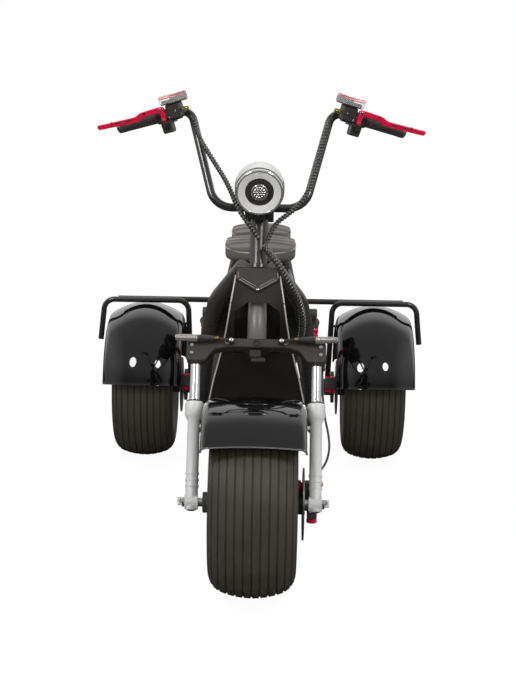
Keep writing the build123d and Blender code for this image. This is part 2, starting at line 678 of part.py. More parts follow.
def apron():
    """The cover ahead of the head tube: a pan with side walls and an arch that the stem comes out of."""
    line = apron_line()
    shell = apron_layer(0, APRON_DEPTH, 0, line) - apron_layer(8.5, APRON_DEPTH + 26, 6, line)
    arch = front_plate(both_sides([(26, 689), (59, 664), (59, 548)]), (100, 300))
    head = STEER.location * rod((0, 0, 400), (0, 0, 700), HEAD_TUBE_RADIUS + SEAT_GAP)
    return shell - arch - head


def inner_panel():
    """The panel that closes the apron's back and is seen through its arch, notched round the head tube."""
    line = apron_line()[2:-1]
    panel = apron_layer(APRON_DEPTH + SEAT_GAP, APRON_DEPTH + 4, 1, line)
    return panel - STEER.location * rod((0, 0, 400), (0, 0, 700), HEAD_TUBE_RADIUS + 4)


def shield_plate():
    """The stitched plate on the apron's top, pointed below, in the steering frame."""
    outline = both_sides([(48, 615), (56, 607), (56, 583), (0, 549)])
    return front_plate(outline, (-43.4, -38.4))


def footboard():
    """A flat floor plate on the rails, with a narrower tongue that meets the apron."""
    front, back = FLOOR_FRONT_Y + 76, PIVOT_Y - 32
    tongue = FLOOR_FRONT_Y - 12
    plate = Pos(0, (front + back) / 2) * RectangleRounded(2 * FOOTBOARD_HALF, back - front, 24)
    plate += Pos(0, (tongue + back) / 2) * Rectangle(276, back - tongue)
    return Pos(0, 0, FOOTBOARD_Z) * extrude(plate, FOOTBOARD_THICKNESS)


def deck_mat():
    """A rubber mat on the footboard."""
    front, back = FLOOR_FRONT_Y + 90, PIVOT_Y - 50
    mat = Pos(0, (front + back) / 2) * RectangleRounded(2 * FOOTBOARD_HALF - 36, back - front, 18)
    return Pos(0, 0, FOOTBOARD_Z + FOOTBOARD_THICKNESS) * extrude(mat, 4)


def battery_case():
    """The battery case slung between the rails under the floor."""
    half = FLOOR_HALF - RAIL_RADIUS - 6
    front = CASE_FRONT_Y + 14 + SEAT_GAP
    case = block((-half, half), (front, PIVOT_Y - 34), (178, FLOOR_Z - 14 - SEAT_GAP))
    case = fillet(case.edges().filter_by(Axis.Z), 16)
    return case + block((-half, half), (front, 766 - SEAT_GAP), (240, FOOTBOARD_Z - SEAT_GAP))


def seat_pan():
    """The flat pan that both seats rest on."""
    y = (SEAT_FRONT_Y + SEAT_BACK_Y) / 2
    pan = RectangleRounded(176, SEAT_BACK_Y - SEAT_FRONT_Y - 14, 26)
    return Pos(0, y, SEAT_PAN_Z) * extrude(pan, SEAT_PAN_THICKNESS)


def front_seat():
    """The saddle: a soft block with rounded edges."""
    body = block((-108, 108), (SEAT_FRONT_Y, SEAT_SPLIT_Y), (SEAT_BOTTOM_Z, 765))
    body = fillet(body.edges().filter_by(Axis.Z), 46)
    return fillet(body.edges().group_by(Axis.Z)[-1], 22)


def rear_seat():
    """The passenger pad behind the saddle."""
    body = block((-94, 94), (SEAT_SPLIT_Y + 1, SEAT_BACK_Y), (SEAT_BOTTOM_Z, 780))
    body = fillet(body.edges().filter_by(Axis.Z), 40)
    return fillet(body.edges().group_by(Axis.Z)[-1], 24)


def rear_arms():
    """Two box arms from the pivot tube back to the axle housing."""
    outline = [(PIVOT_Y - 30, 236), (PIVOT_Y - 30, 288), (PIVOT_Y + 30, 290), (WHEELBASE, 262), (WHEELBASE, 188)]
    outline += [(PIVOT_Y + 60, 228)]
    arm = side_plate(outline, ARM_X)
    reach = 2 * ARM_X[1]
    arm -= rod((0, PIVOT_Y, FLOOR_Z), (reach, PIVOT_Y, FLOOR_Z), PIVOT_RADIUS + FIT)
    arm -= rod((0, WHEELBASE, AXLE_Z), (reach, WHEELBASE, AXLE_Z), HOUSING_RADIUS + FIT)
    return pair(arm)


def axle_housing():
    """The rear axle's tube with caliper flanges, shock brackets and the gear case beside the motor."""
    end = REAR_HALF_TRACK - REAR_DISC_OFFSET - 7
    axle = Pos(0, WHEELBASE, AXLE_Z)
    body = axle * turned(band((-end, end), (0, HOUSING_RADIUS)))
    gear = [(MOTOR_Y - 66, 196), (MOTOR_Y - 66, 274), (MOTOR_Y - 30, 304), (WHEELBASE + 20, 292)]
    gear += [(WHEELBASE + 62, 250), (WHEELBASE + 62, 196), (WHEELBASE + 20, 160), (MOTOR_Y - 30, 166)]
    body += side_plate(gear, GEAR_CASE_X)
    for side in (-1, 1):
        flange = sorted((side * (end - 11.5), side * (end - 2)))
        body += axle * turned(band(flange, (0, CALIPER_INNER - SEAT_GAP)))
        for x in (SHOCK_X - 20, SHOCK_X + 14):
            bracket = [(SHOCK_FOOT[0] - 20, AXLE_Z + 11), (SHOCK_FOOT[0] - 20, SHOCK_FOOT_Z + 14)]
            bracket += [(SHOCK_FOOT[0] + 24, SHOCK_FOOT_Z + 14), (SHOCK_FOOT[0] + 38, AXLE_Z + 25)]
            body += side_plate(bracket, sorted((side * x, side * (x + 6))))
        body += rod((side * (SHOCK_X - 15), *SHOCK_FOOT), (side * (SHOCK_X + 15), *SHOCK_FOOT), 6)
        bore = axle * turned(band(sorted((side * (end - 68), side * (end + 50))), (0, SHAFT_RADIUS + FIT)))
        body -= bore
    return body


def drive_motor():
    """The drive motor beside the gear case, as one plain block."""
    return rod((MOTOR_X[0], MOTOR_Y, MOTOR_Z), (MOTOR_X[1], MOTOR_Y, MOTOR_Z), MOTOR_RADIUS)


def shock_bar():
    """The bar across the rails that the shock absorbers hang from."""
    x = SHOCK_X + 15
    rails = pair(bent_tube(rail_points(), RAIL_BENDS, RAIL_RADIUS + FIT))
    return rod((-x, *SHOCK_HEAD), (x, *SHOCK_HEAD), SHOCK_BAR_RADIUS) - rails


def shock_absorbers():
    """Coil-over shock absorbers from the shock bar to the axle housing, with stacked coils."""
    head = Vector(SHOCK_X, *SHOCK_HEAD)
    foot = Vector(SHOCK_X, *SHOCK_FOOT)
    along = Plane(origin=foot, z_dir=head - foot, x_dir=(1, 0, 0))
    length = (head - foot).length
    low, high = 46, length - 46
    pitch = (high - low) / COIL_COUNT
    outline = Polyline((14, low), (0, low), (0, high), (14, high))
    for index in range(COIL_COUNT):
        z = low + pitch * index
        outline += ThreePointArc((14, z), (22, z + pitch / 2), (14, z + pitch))
    body = revolve(Plane.XZ * make_face(outline), axis=Axis.Z)
    for seat in (low - 6, high):
        body += rod((0, 0, seat), (0, 0, seat + 6), 24)
    body += rod((0, 0, 0), (0, 0, low), 13) + rod((0, 0, high), (0, 0, length), 8)
    for z in (0, length):
        body += Pos(0, 0, z) * Rot(0, 90, 0) * Cylinder(16, 28 - 2 * FIT)
    body -= Rot(0, 90, 0) * Cylinder(6 + FIT, 60)
    body -= Pos(0, 0, length) * Rot(0, 90, 0) * Cylinder(SHOCK_BAR_RADIUS + FIT, 60)
    return pair(along.location * body)


def rear_calipers():
    """Calipers ahead of the rear axle, on the housing's flanges."""
    x = REAR_HALF_TRACK - REAR_DISC_OFFSET
    body = caliper(x - 40, x + 13, x, 160, 26)
    return pair(Pos(0, WHEELBASE, AXLE_Z) * body)


def tail_light():
    """The tail light under the seat's back with its bracket."""
    lamp = block((-58, 58), (SEAT_BACK_Y - 12, SEAT_BACK_Y + 12), (624, 664))
    lamp = fillet(lamp.edges().filter_by(Axis.Y), 14)
    return lamp + block((-20, 20), (SEAT_BACK_Y - 32, SEAT_BACK_Y - 12), (640, SEAT_PAN_Z - SEAT_GAP))


def left_bar_loom():
    """The wrapped loom from the left switch box down the upright and past the headlight to the sleeve."""
    route = [(182, 481, 1147), (164.3, 449.2, 1085), (148, 420.4, 1027), (133.8, 395, 978)]
    route += [(116, 376, 944), (94, 364, 920), (70, 354, 902), (47, 342, 886), (31, 330, 862), (22, 322, 836)]
    return cord(route, BAR_LOOM_RADIUS)


def right_bar_loom():
    """The wrapped loom from the right switch box across in front of the bar to the sleeve."""
    route = [(-182, 481, 1147), (-175.6, 469.8, 1125), (-163, 450, 1094), (-140, 426, 1060)]
    route += [(-115, 402, 1025), (-92, 376, 994), (-74, 350, 962), (-60, 330, 930)]
    route += [(-40, 318, 900), (-18, 312, 872), (2, 312, 844)]
    return cord(route, BAR_LOOM_RADIUS)


def wiring_loom():
    """The wrapped main loom from the stem past the apron's +X edge to the floor behind it."""
    route = [(14, 310, 826), (32, 291, 808), (50, 274, 788), (70, 267, 760), (91, 269, 724)]
    route += [(110, 280, 684), (120, 294, 634), (116, 318, 582), (106, 352, 534), (92, 394, 486)]
    route += [(78, 440, 436), (66, 488, 390), (57, 540, 358), (52, 576, 336)]
    route += [(51, 590, 316), (51, 590, FOOTBOARD_Z + FOOTBOARD_THICKNESS + SEAT_GAP)]
    return cord(route, MAIN_LOOM_RADIUS)


def front_brake_hose():
    """The front brake hose from the clip on the clamp's back down behind the +X leg to the caliper's top."""
    start = [STEER.from_local_coords(Vector(170, -11, height)) for height in (CLAMP_LOBE_BOTTOM - 6, 310)]
    route = [tuple(point) for point in start]
    route += [(173, 150, 450), (178, 136, 410), (188, 122, 372), (191, 108, 334), (180, 92, 300)]
    route += [(160, 80, 282), (156, 78, AXLE_Z + 38)]
    return cord(route, BRAKE_HOSE_RADIUS)


# The builders whose pieces are drawn in the steering frame, in the headlight's, and in place
STEERED = (fork_tubes, front_axle, lower_clamp, steering_stem, handlebar, front_indicators, head_tube, shield_plate)
LAMP = (headlight_bucket, headlight_lens)
PLACED = (
    fork_legs, bar_clamp, grips, grip_caps, master_cylinders, fluid_reservoirs, brake_levers, switch_boxes,
    front_fender, front_caliper, frame_rails, cross_tubes, top_tubes, rear_fenders, fender_hoops, apron, inner_panel,
    footboard, deck_mat, battery_case, seat_pan, front_seat, rear_seat, rear_arms, axle_housing, drive_motor,
    shock_bar, shock_absorbers, rear_calipers, tail_light, left_bar_loom, right_bar_loom, wiring_loom,
    front_brake_hose,
)


def all_parts():
    """Every piece in its place, under its node's name."""
    parts = {**front_wheel(), **rear_wheel("left", 1), **rear_wheel("right", -1)}
    for place, builders in ((STEER, STEERED), (light_frame(), LAMP), (Plane.XY, PLACED)):
        for builder in builders:
            parts[builder.__name__] = place.location * builder()
    return parts


def write_parts():
    """Write one STEP file per piece, with the origin moved to the ground under the vehicle's middle."""
    os.makedirs("parts", exist_ok=True)
    to_origin = Pos(0, TYRE_RADIUS - OVERALL_LENGTH / 2, TYRE_RADIUS - AXLE_Z)
    for name, piece in all_parts().items():
        export_step(to_origin * piece, f"parts/{name}.step")


write_parts()
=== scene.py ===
"""Looks of the three-wheeled scooter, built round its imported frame.

Every piece is drawn in millimetres in the axes of its own assembly and placed in the row frame, which is in
metres: +Z up, the front faces -Y and +X is the rider's left.
"""

from collections import namedtuple
from math import cos, pi, radians, sin

import bmesh
import bpy
import numpy as np
from mathutils import Euler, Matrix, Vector
from mathutils.geometry import tessellate_polygon


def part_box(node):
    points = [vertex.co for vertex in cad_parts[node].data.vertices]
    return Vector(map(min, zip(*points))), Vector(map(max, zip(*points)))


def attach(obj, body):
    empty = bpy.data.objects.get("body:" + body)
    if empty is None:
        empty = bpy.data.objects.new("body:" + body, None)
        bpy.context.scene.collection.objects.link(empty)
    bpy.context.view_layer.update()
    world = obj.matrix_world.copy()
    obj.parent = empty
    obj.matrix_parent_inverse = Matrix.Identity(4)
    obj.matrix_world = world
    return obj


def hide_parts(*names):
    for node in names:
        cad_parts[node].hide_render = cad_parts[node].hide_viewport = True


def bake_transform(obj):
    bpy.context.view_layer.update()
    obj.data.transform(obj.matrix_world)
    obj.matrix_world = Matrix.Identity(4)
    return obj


bl_info = {
    "name": "Three-Wheeled Scooter",
    "version": (1, 0, 0),
    "blender": (4, 5, 0),
    "location": "3D View > Sidebar > Scooter",
    "description": "Dresses the packed frame of a three-wheeled electric scooter",
    "category": "Object",
}

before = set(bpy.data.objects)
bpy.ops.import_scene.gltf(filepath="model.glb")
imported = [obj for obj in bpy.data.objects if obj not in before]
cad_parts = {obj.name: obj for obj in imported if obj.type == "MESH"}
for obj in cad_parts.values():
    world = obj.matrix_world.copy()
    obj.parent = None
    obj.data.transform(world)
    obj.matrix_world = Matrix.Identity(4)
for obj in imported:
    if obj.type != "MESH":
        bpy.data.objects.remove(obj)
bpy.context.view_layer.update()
MILLIMETRE = 0.001
AXLE_HEIGHT = 225.0
WHEELBASE = 1300.0
REAR_HALF_TRACK = 372.0
BOTH = (1, -1)


# Places


def centre_of(node):
    """The middle of a node's box, in metres."""
    low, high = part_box(node)
    return (np.array(low) + np.array(high)) / 2


FRONT_AXLE = centre_of("front_tyre")


class Place:
    """The axes of one assembly, measured in millimetres from the front axle's ground point."""

    def __init__(self, origin, x_dir, z_dir):
        """Keep the origin and the three axes; y is z cross x."""
        x_dir, z_dir = (np.asarray(way, float) / np.linalg.norm(way) for way in (x_dir, z_dir))
        self.origin = np.asarray(origin, float)
        self.axes = np.array([x_dir, np.cross(z_dir, x_dir), z_dir])

    def local(self, points):
        """Points in the vehicle's millimetres."""
        return self.origin + np.asarray(points, float) @ self.axes

    def __call__(self, points, side=1):
        """Points in the row frame's metres, mirrored across X where side is -1."""
        return (self.local(points) * (side, 1, 1) - (0, 0, AXLE_HEIGHT)) * MILLIMETRE + FRONT_AXLE


LEAN = radians(27.0)
LEG_AHEAD = 40.0
LEG_SPREAD = 154.0
LIGHT_TILT = radians(14.0)
STANDING = Place((0, 0, 0), (1, 0, 0), (0, 0, 1))
STEERING = Place(
    (0, LEG_AHEAD * cos(LEAN), AXLE_HEIGHT - LEG_AHEAD * sin(LEAN)), (1, 0, 0), (0, sin(LEAN), cos(LEAN))
)
LAMP = Place((0, 278, 968), (1, 0, 0), (0, cos(LIGHT_TILT), sin(LIGHT_TILT)))
BAR_BEND = STEERING.local((190, -12, 1072))
BAR_END = STEERING.local((385, 84, 1057))
BAR_RUN = (BAR_END - BAR_BEND) / np.linalg.norm(BAR_END - BAR_BEND)
HAND = Place(BAR_BEND, np.array([0, 1.0, 0]) - BAR_RUN * BAR_RUN[1], BAR_RUN)


# Shapes

Skin = namedtuple("Skin", "points closed_u closed_v capped")


def smooth_step(value):
    """0 below 0, 1 above 1, and 3v^2 - 2v^3 between."""
    value = np.clip(value, 0, 1)
    return value * value * (3 - 2 * value)


def quads_of(rows, columns, closed_u, closed_v):
    """Corner numbers of every cell of a grid; a closed direction joins its last line to its first."""
    index = np.arange(rows * columns).reshape(rows, columns)
    if closed_u:
        index = np.vstack([index, index[:1]])
    if closed_v:
        index = np.hstack([index, index[:, :1]])
    corners = [index[:-1, :-1], index[:-1, 1:], index[1:, 1:], index[1:, :-1]]
    return np.stack(corners, axis=-1).reshape(-1, 4)


def axes_about(axis):
    """A unit axis with two unit directions square to it."""
    axis = np.asarray(axis, float)
    axis = axis / np.linalg.norm(axis)
    helper = np.array([1.0, 0, 0]) if abs(axis[0]) < 0.9 else np.array([0, 1.0, 0])
    side = np.cross(helper, axis)
    side /= np.linalg.norm(side)
    return axis, side, np.cross(axis, side)


def revolve(profile, origin=(0, 0, 0), axis=(0, 0, 1), steps=32, closed=False, squash=1.0):
    """A surface turned about an axis: (t, r) goes to origin + t axis + r (side cos a + squash up sin a)."""
    profile = np.asarray(profile, float)
    axis, side, up = axes_about(axis)
    angle = np.linspace(0, 2 * pi, steps, endpoint=False)[:, None, None]
    radial = side * np.cos(angle) + squash * up * np.sin(angle)
    grid = np.asarray(origin) + profile[None, :, :1] * axis + profile[None, :, 1:] * radial
    return Skin(grid, True, closed, False)


def tube(path, radius, sides=16, reference=(1, 0, 0)):
    """A skin round a path: point + radius (side cos a + up sin a), side square to the run and the reference.

    The radius is one number, one for each point, or one for each point and side; both ends close to a point.
    """
    path = np.asarray(path, float)
    run = np.gradient(path, axis=0)
    run /= np.linalg.norm(run, axis=1, keepdims=True)
    side = np.cross(run, np.asarray(reference, float))
    side /= np.linalg.norm(side, axis=1, keepdims=True)
    up = np.cross(run, side)
    angle = np.linspace(0, 2 * pi, sides, endpoint=False)
    radius = np.asarray(radius, float)
    radii = radius[:, None] if radius.ndim == 1 else radius
    radii = np.broadcast_to(radii, (len(path), sides))[..., None]
    radial = side[:, None] * np.cos(angle)[None, :, None] + up[:, None] * np.sin(angle)[None, :, None]
    skin = path[:, None] + radii * radial
    first = np.repeat(path[:1, None], sides, axis=1)
    last = np.repeat(path[-1:, None], sides, axis=1)
    return Skin(np.concatenate([first, skin, last]), False, True, False)


def rounded(outline, share=0.22, passes=3):
    """A closed outline with its corners cut again and again, each time by a share of its sides."""
    outline = np.asarray(outline, float)
    for _ in range(passes):
        following = np.roll(outline, -1, axis=0)
        near = outline + (following - outline) * share
        far = following + (outline - following) * share
        outline = np.stack([near, far], axis=1).reshape(-1, 2)
    return outline


PLANES = {"yz": (1, 2, 0), "xz": (0, 2, 1), "xy": (0, 1, 2)}


def plate(outline, low, high, bevel=1.0, plane="xz"):
    """A closed outline in a plane, carried along the plane's normal from low to high with bevelled edges.

    The first and last sections are drawn in by the bevel along the outline's normals.
    """
    outline = np.asarray(outline, float)
    run = np.roll(outline, -1, axis=0) - np.roll(outline, 1, axis=0)
    run /= np.linalg.norm(run, axis=1, keepdims=True)
    following = np.roll(outline, -1, axis=0)
    area = np.sum(outline[:, 0] * following[:, 1] - following[:, 0] * outline[:, 1])
    inward = np.stack([-run[:, 1], run[:, 0]], axis=1) * np.sign(area)
    rows = []
    for depth, inset in ((low, bevel), (low + bevel, 0), (high - bevel, 0), (high, bevel)):
        row = np.zeros((len(outline), 3))
        first, second, normal = PLANES[plane]
        row[:, first] = outline[:, 0] + inward[:, 0] * inset
        row[:, second] = outline[:, 1] + inward[:, 1] * inset
        row[:, normal] = depth
        rows.append(row)
    return Skin(np.stack(rows), False, True, True)


def soft_box(centre, half, power=5.0, rows=24, columns=48):
    """A box with rounded edges, |x|^p + |y|^p + |z|^p = 1: signed powers of a sphere's coordinates."""

    def bent(value):
        """The value's size raised to 2 / p, with its sign kept."""
        return np.sign(value) * np.abs(value) ** (2 / power)

    rise = np.linspace(-pi / 2, pi / 2, rows)[:, None]
    turn = np.linspace(0, 2 * pi, columns, endpoint=False)[None, :]
    x = bent(np.cos(rise)) * bent(np.cos(turn))
    y = bent(np.cos(rise)) * bent(np.sin(turn))
    z = bent(np.sin(rise)) * np.ones_like(turn)
    grid = np.stack([x, y, z], axis=-1) * np.asarray(half) + np.asarray(centre)
    return Skin(grid, False, True, False)


def resampled(line, step):
    """A line's points set evenly along it."""
    line = np.asarray(line, float)
    length = np.concatenate([[0], np.cumsum(np.linalg.norm(np.diff(line, axis=0), axis=1))])
    even = np.linspace(0, length[-1], max(2, int(length[-1] / step)))
    return np.stack([np.interp(even, length, column) for column in line.T], axis=1)


def averaged(line, count):
    """A line smoothed by a running mean of count points, its ends carried on straight so that they stay."""
    count = count // 2 * 2 + 1
    pad = count // 2
    before = 2 * line[0] - line[pad:0:-1]
    after = 2 * line[-1] - line[-2:-2 - pad:-1]
    long = np.concatenate([before, line, after])
    return np.stack([np.convolve(column, np.ones(count) / count, "valid") for column in long.T], axis=1)


def bolt(origin, axis, radius, height, sides=32):
    """A round screw head with a socket in it, standing on its origin."""
    profile = [
        (-1.0, radius), (height * 0.7, radius), (height, radius * 0.8), (height, radius * 0.45),
        (height * 0.45, radius * 0.40), (height * 0.45, 0.0),
    ]
    return revolve(profile, origin, axis, sides)


def hex_nut(origin, axis, radius, height):
    """A six-sided nut with its corners chamfered, standing on its origin."""
    profile = [(0.0, radius), (height * 0.85, radius), (height, radius * 0.86), (height, 0.0)]
    return revolve(profile, origin, axis, 6)


def mesh_of(name, parts, place, sides):
    """One mesh from painted skins: each is (skin, material number), placed once for each side."""
    points, faces, numbers, start = [], [], [], 0
    for skin, number in parts:
        for side in sides:
            rows, columns = skin.points.shape[:2]
            points.append(place(skin.points, side).reshape(-1, 3))
            cells = (quads_of(rows, columns, skin.closed_u, skin.closed_v) + start).tolist()
            if skin.capped:
                for row in (0, rows - 1):
                    outline = [Vector(point) for point in skin.points[row]]
                    first = start + row * columns
                    cells += [[first + corner for corner in face] for face in tessellate_polygon([outline])]
            faces += cells
            numbers += [number] * len(cells)
            start += rows * columns
    mesh = bpy.data.meshes.new(name)
    mesh.from_pydata(np.concatenate(points).tolist(), [], faces)
    mesh.polygons.foreach_set("material_index", np.array(numbers, np.int32))
    return mesh


def tidy_mesh(mesh, sharp, merge=1e-6):
    """Doubles merged, empty faces dropped, faces outward, smooth shading between the sharp edges."""
    work = bmesh.new()
    work.from_mesh(mesh)
    bmesh.ops.remove_doubles(work, verts=work.verts, dist=merge)
    bmesh.ops.dissolve_degenerate(work, edges=work.edges, dist=merge)
    bmesh.ops.recalc_face_normals(work, faces=work.faces)
    work.to_mesh(mesh)
    work.free()
    mesh.polygons.foreach_set("use_smooth", np.ones(len(mesh.polygons), bool))
    mesh.set_sharp_from_angle(angle=radians(sharp))
    mesh.update()


def piece(name, parts, finishes, body, replaced=(), place=STANDING, sides=(1,), sharp=38.0):
    """One object from painted skins, with its materials, its body and the nodes that it stands for."""
    mesh = mesh_of(name, parts, place, sides)
    for finish in finishes:
        mesh.materials.append(MATERIALS[finish])
    tidy_mesh(mesh, sharp)
    made = bpy.data.objects.new(name, mesh)
    bpy.context.scene.collection.objects.link(made)
    return seat_piece(made, body, replaced)


def seat_piece(made, body, replaced=()):
    """Let a piece ride on its body and stand for the nodes it replaces."""
    if body:
        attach(made, body)
    if replaced:
        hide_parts(*replaced)
    return made


# Materials


def add_node(tree, kind, inputs=None, **settings):
    """A node with its settings, and its sockets given as values or linked from other sockets."""
    made = tree.nodes.new(kind)
    for key, value in settings.items():
        setattr(made, key, value)
    for socket, value in (inputs or {}).items():
        if isinstance(value, bpy.types.NodeSocket):
            tree.links.new(value, made.inputs[socket])
        else:
            made.inputs[socket].default_value = value
    return made


def new_group(name, inputs, outputs):
    """An empty shader group with named sockets, each input as (name, kind, default)."""
    tree = bpy.data.node_groups.new(name, "ShaderNodeTree")
    for label, kind, default in inputs:
        socket = tree.interface.new_socket(label, in_out="INPUT", socket_type=kind)
        socket.default_value = default
    for label, kind in outputs:
        tree.interface.new_socket(label, in_out="OUTPUT", socket_type=kind)
    return tree, tree.nodes.new("NodeGroupInput").outputs, tree.nodes.new("NodeGroupOutput").inputs


def surface_variation():
    """Two colours mixed by large soft noise, roughness spread by it, and a fine grain for relief."""
    tree, given, out = new_group(
        "Surface Variation",
        [
            ("Colour", "NodeSocketColor", (0.5, 0.5, 0.5, 1)),
            ("Second Colour", "NodeSocketColor", (0.4, 0.4, 0.4, 1)),
            ("Patch Scale", "NodeSocketFloat", 12.0),
            ("Grain Scale", "NodeSocketFloat", 600.0),
            ("Roughness", "NodeSocketFloat", 0.4),
            ("Spread", "NodeSocketFloat", 0.1),
        ],
        [("Colour", "NodeSocketColor"), ("Roughness", "NodeSocketFloat"), ("Grain", "NodeSocketFloat")],
    )
    place = add_node(tree, "ShaderNodeTexCoord").outputs["Object"]
    patch = add_node(
        tree, "ShaderNodeTexNoise", {"Vector": place, "Scale": given["Patch Scale"], "Detail": 4.0}
    ).outputs["Fac"]
    grain = add_node(
        tree, "ShaderNodeTexNoise", {"Vector": place, "Scale": given["Grain Scale"], "Detail": 2.0}
    ).outputs["Fac"]
    share = add_node(
        tree, "ShaderNodeMapRange", {"Value": patch, "From Min": 0.35, "From Max": 0.65}, clamp=True
    ).outputs["Result"]
    colour = add_node(
        tree, "ShaderNodeMix", {0: share, 6: given["Colour"], 7: given["Second Colour"]}, data_type="RGBA"
    )
    offset = add_node(tree, "ShaderNodeMath", {0: share, 1: 0.5}, operation="SUBTRACT").outputs[0]
    rough = add_node(
        tree,
        "ShaderNodeMath",
        {0: offset, 1: given["Spread"], 2: given["Roughness"]},
        operation="MULTIPLY_ADD",
    ).outputs[0]
    tree.links.new(colour.outputs[2], out["Colour"])
    tree.links.new(rough, out["Roughness"])
    tree.links.new(grain, out["Grain"])


def leather_grain():
    """Rounded cells with creases between them, as a height."""
    tree, given, out = new_group(
        "Leather Grain", [("Scale", "NodeSocketFloat", 450.0)], [("Height", "NodeSocketFloat")]
    )
    place = add_node(tree, "ShaderNodeTexCoord").outputs["Object"]
    cells = add_node(
        tree, "ShaderNodeTexVoronoi", {"Vector": place, "Scale": given["Scale"]}, feature="DISTANCE_TO_EDGE"
    ).outputs["Distance"]
    height = add_node(
        tree,
        "ShaderNodeMapRange",
        {"Value": cells, "From Max": 0.25},
        clamp=True,
        interpolation_type="SMOOTHSTEP",
    ).outputs["Result"]
    tree.links.new(height, out["Height"])


def plain_material(name, sockets):
    """A Principled material with the named sockets set."""
    material = bpy.data.materials.new(name)
    material.use_nodes = True
    shader = material.node_tree.nodes["Principled BSDF"]
    for socket, value in sockets.items():
        shader.inputs[socket].default_value = value
    return material, material.node_tree, shader


def finish_material(name, colour, second, roughness, spread, relief, sockets):
    """A material whose colour and roughness vary softly, with a fine grain, or leather's creases, as bump."""
    material, tree, shader = plain_material(name, sockets)
    group = add_node(tree, "ShaderNodeGroup", node_tree=bpy.data.node_groups["Surface Variation"])
    group.inputs["Colour"].default_value = (*colour, 1)
    group.inputs["Second Colour"].default_value = (*second, 1)
    group.inputs["Roughness"].default_value = roughness
    group.inputs["Spread"].default_value = spread
    height = group.outputs["Grain"]
    if "leather" in name:
        grain = add_node(tree, "ShaderNodeGroup", node_tree=bpy.data.node_groups["Leather Grain"])
        height = grain.outputs["Height"]
    bump = add_node(tree, "ShaderNodeBump", {"Height": height, "Distance": relief, "Strength": 1.0})
    tree.links.new(group.outputs["Colour"], shader.inputs["Base Color"])
    tree.links.new(group.outputs["Roughness"], shader.inputs["Roughness"])
    tree.links.new(bump.outputs["Normal"], shader.inputs["Normal"])
    return material


PLAIN = {}
DULL = {"Specular IOR Level": 0.2}
SOFT_DULL = {"Specular IOR Level": 0.3}
METAL = {"Metallic": 1.0}
LACQUER = {"Coat Weight": 1.0, "Coat Roughness": 0.02, "Specular IOR Level": 0.05}
VINYL = {"Coat Weight": 0.8, "Coat Roughness": 0.08}
MIRRORED = {"Metallic": 0.7, "Coat Weight": 0.6}

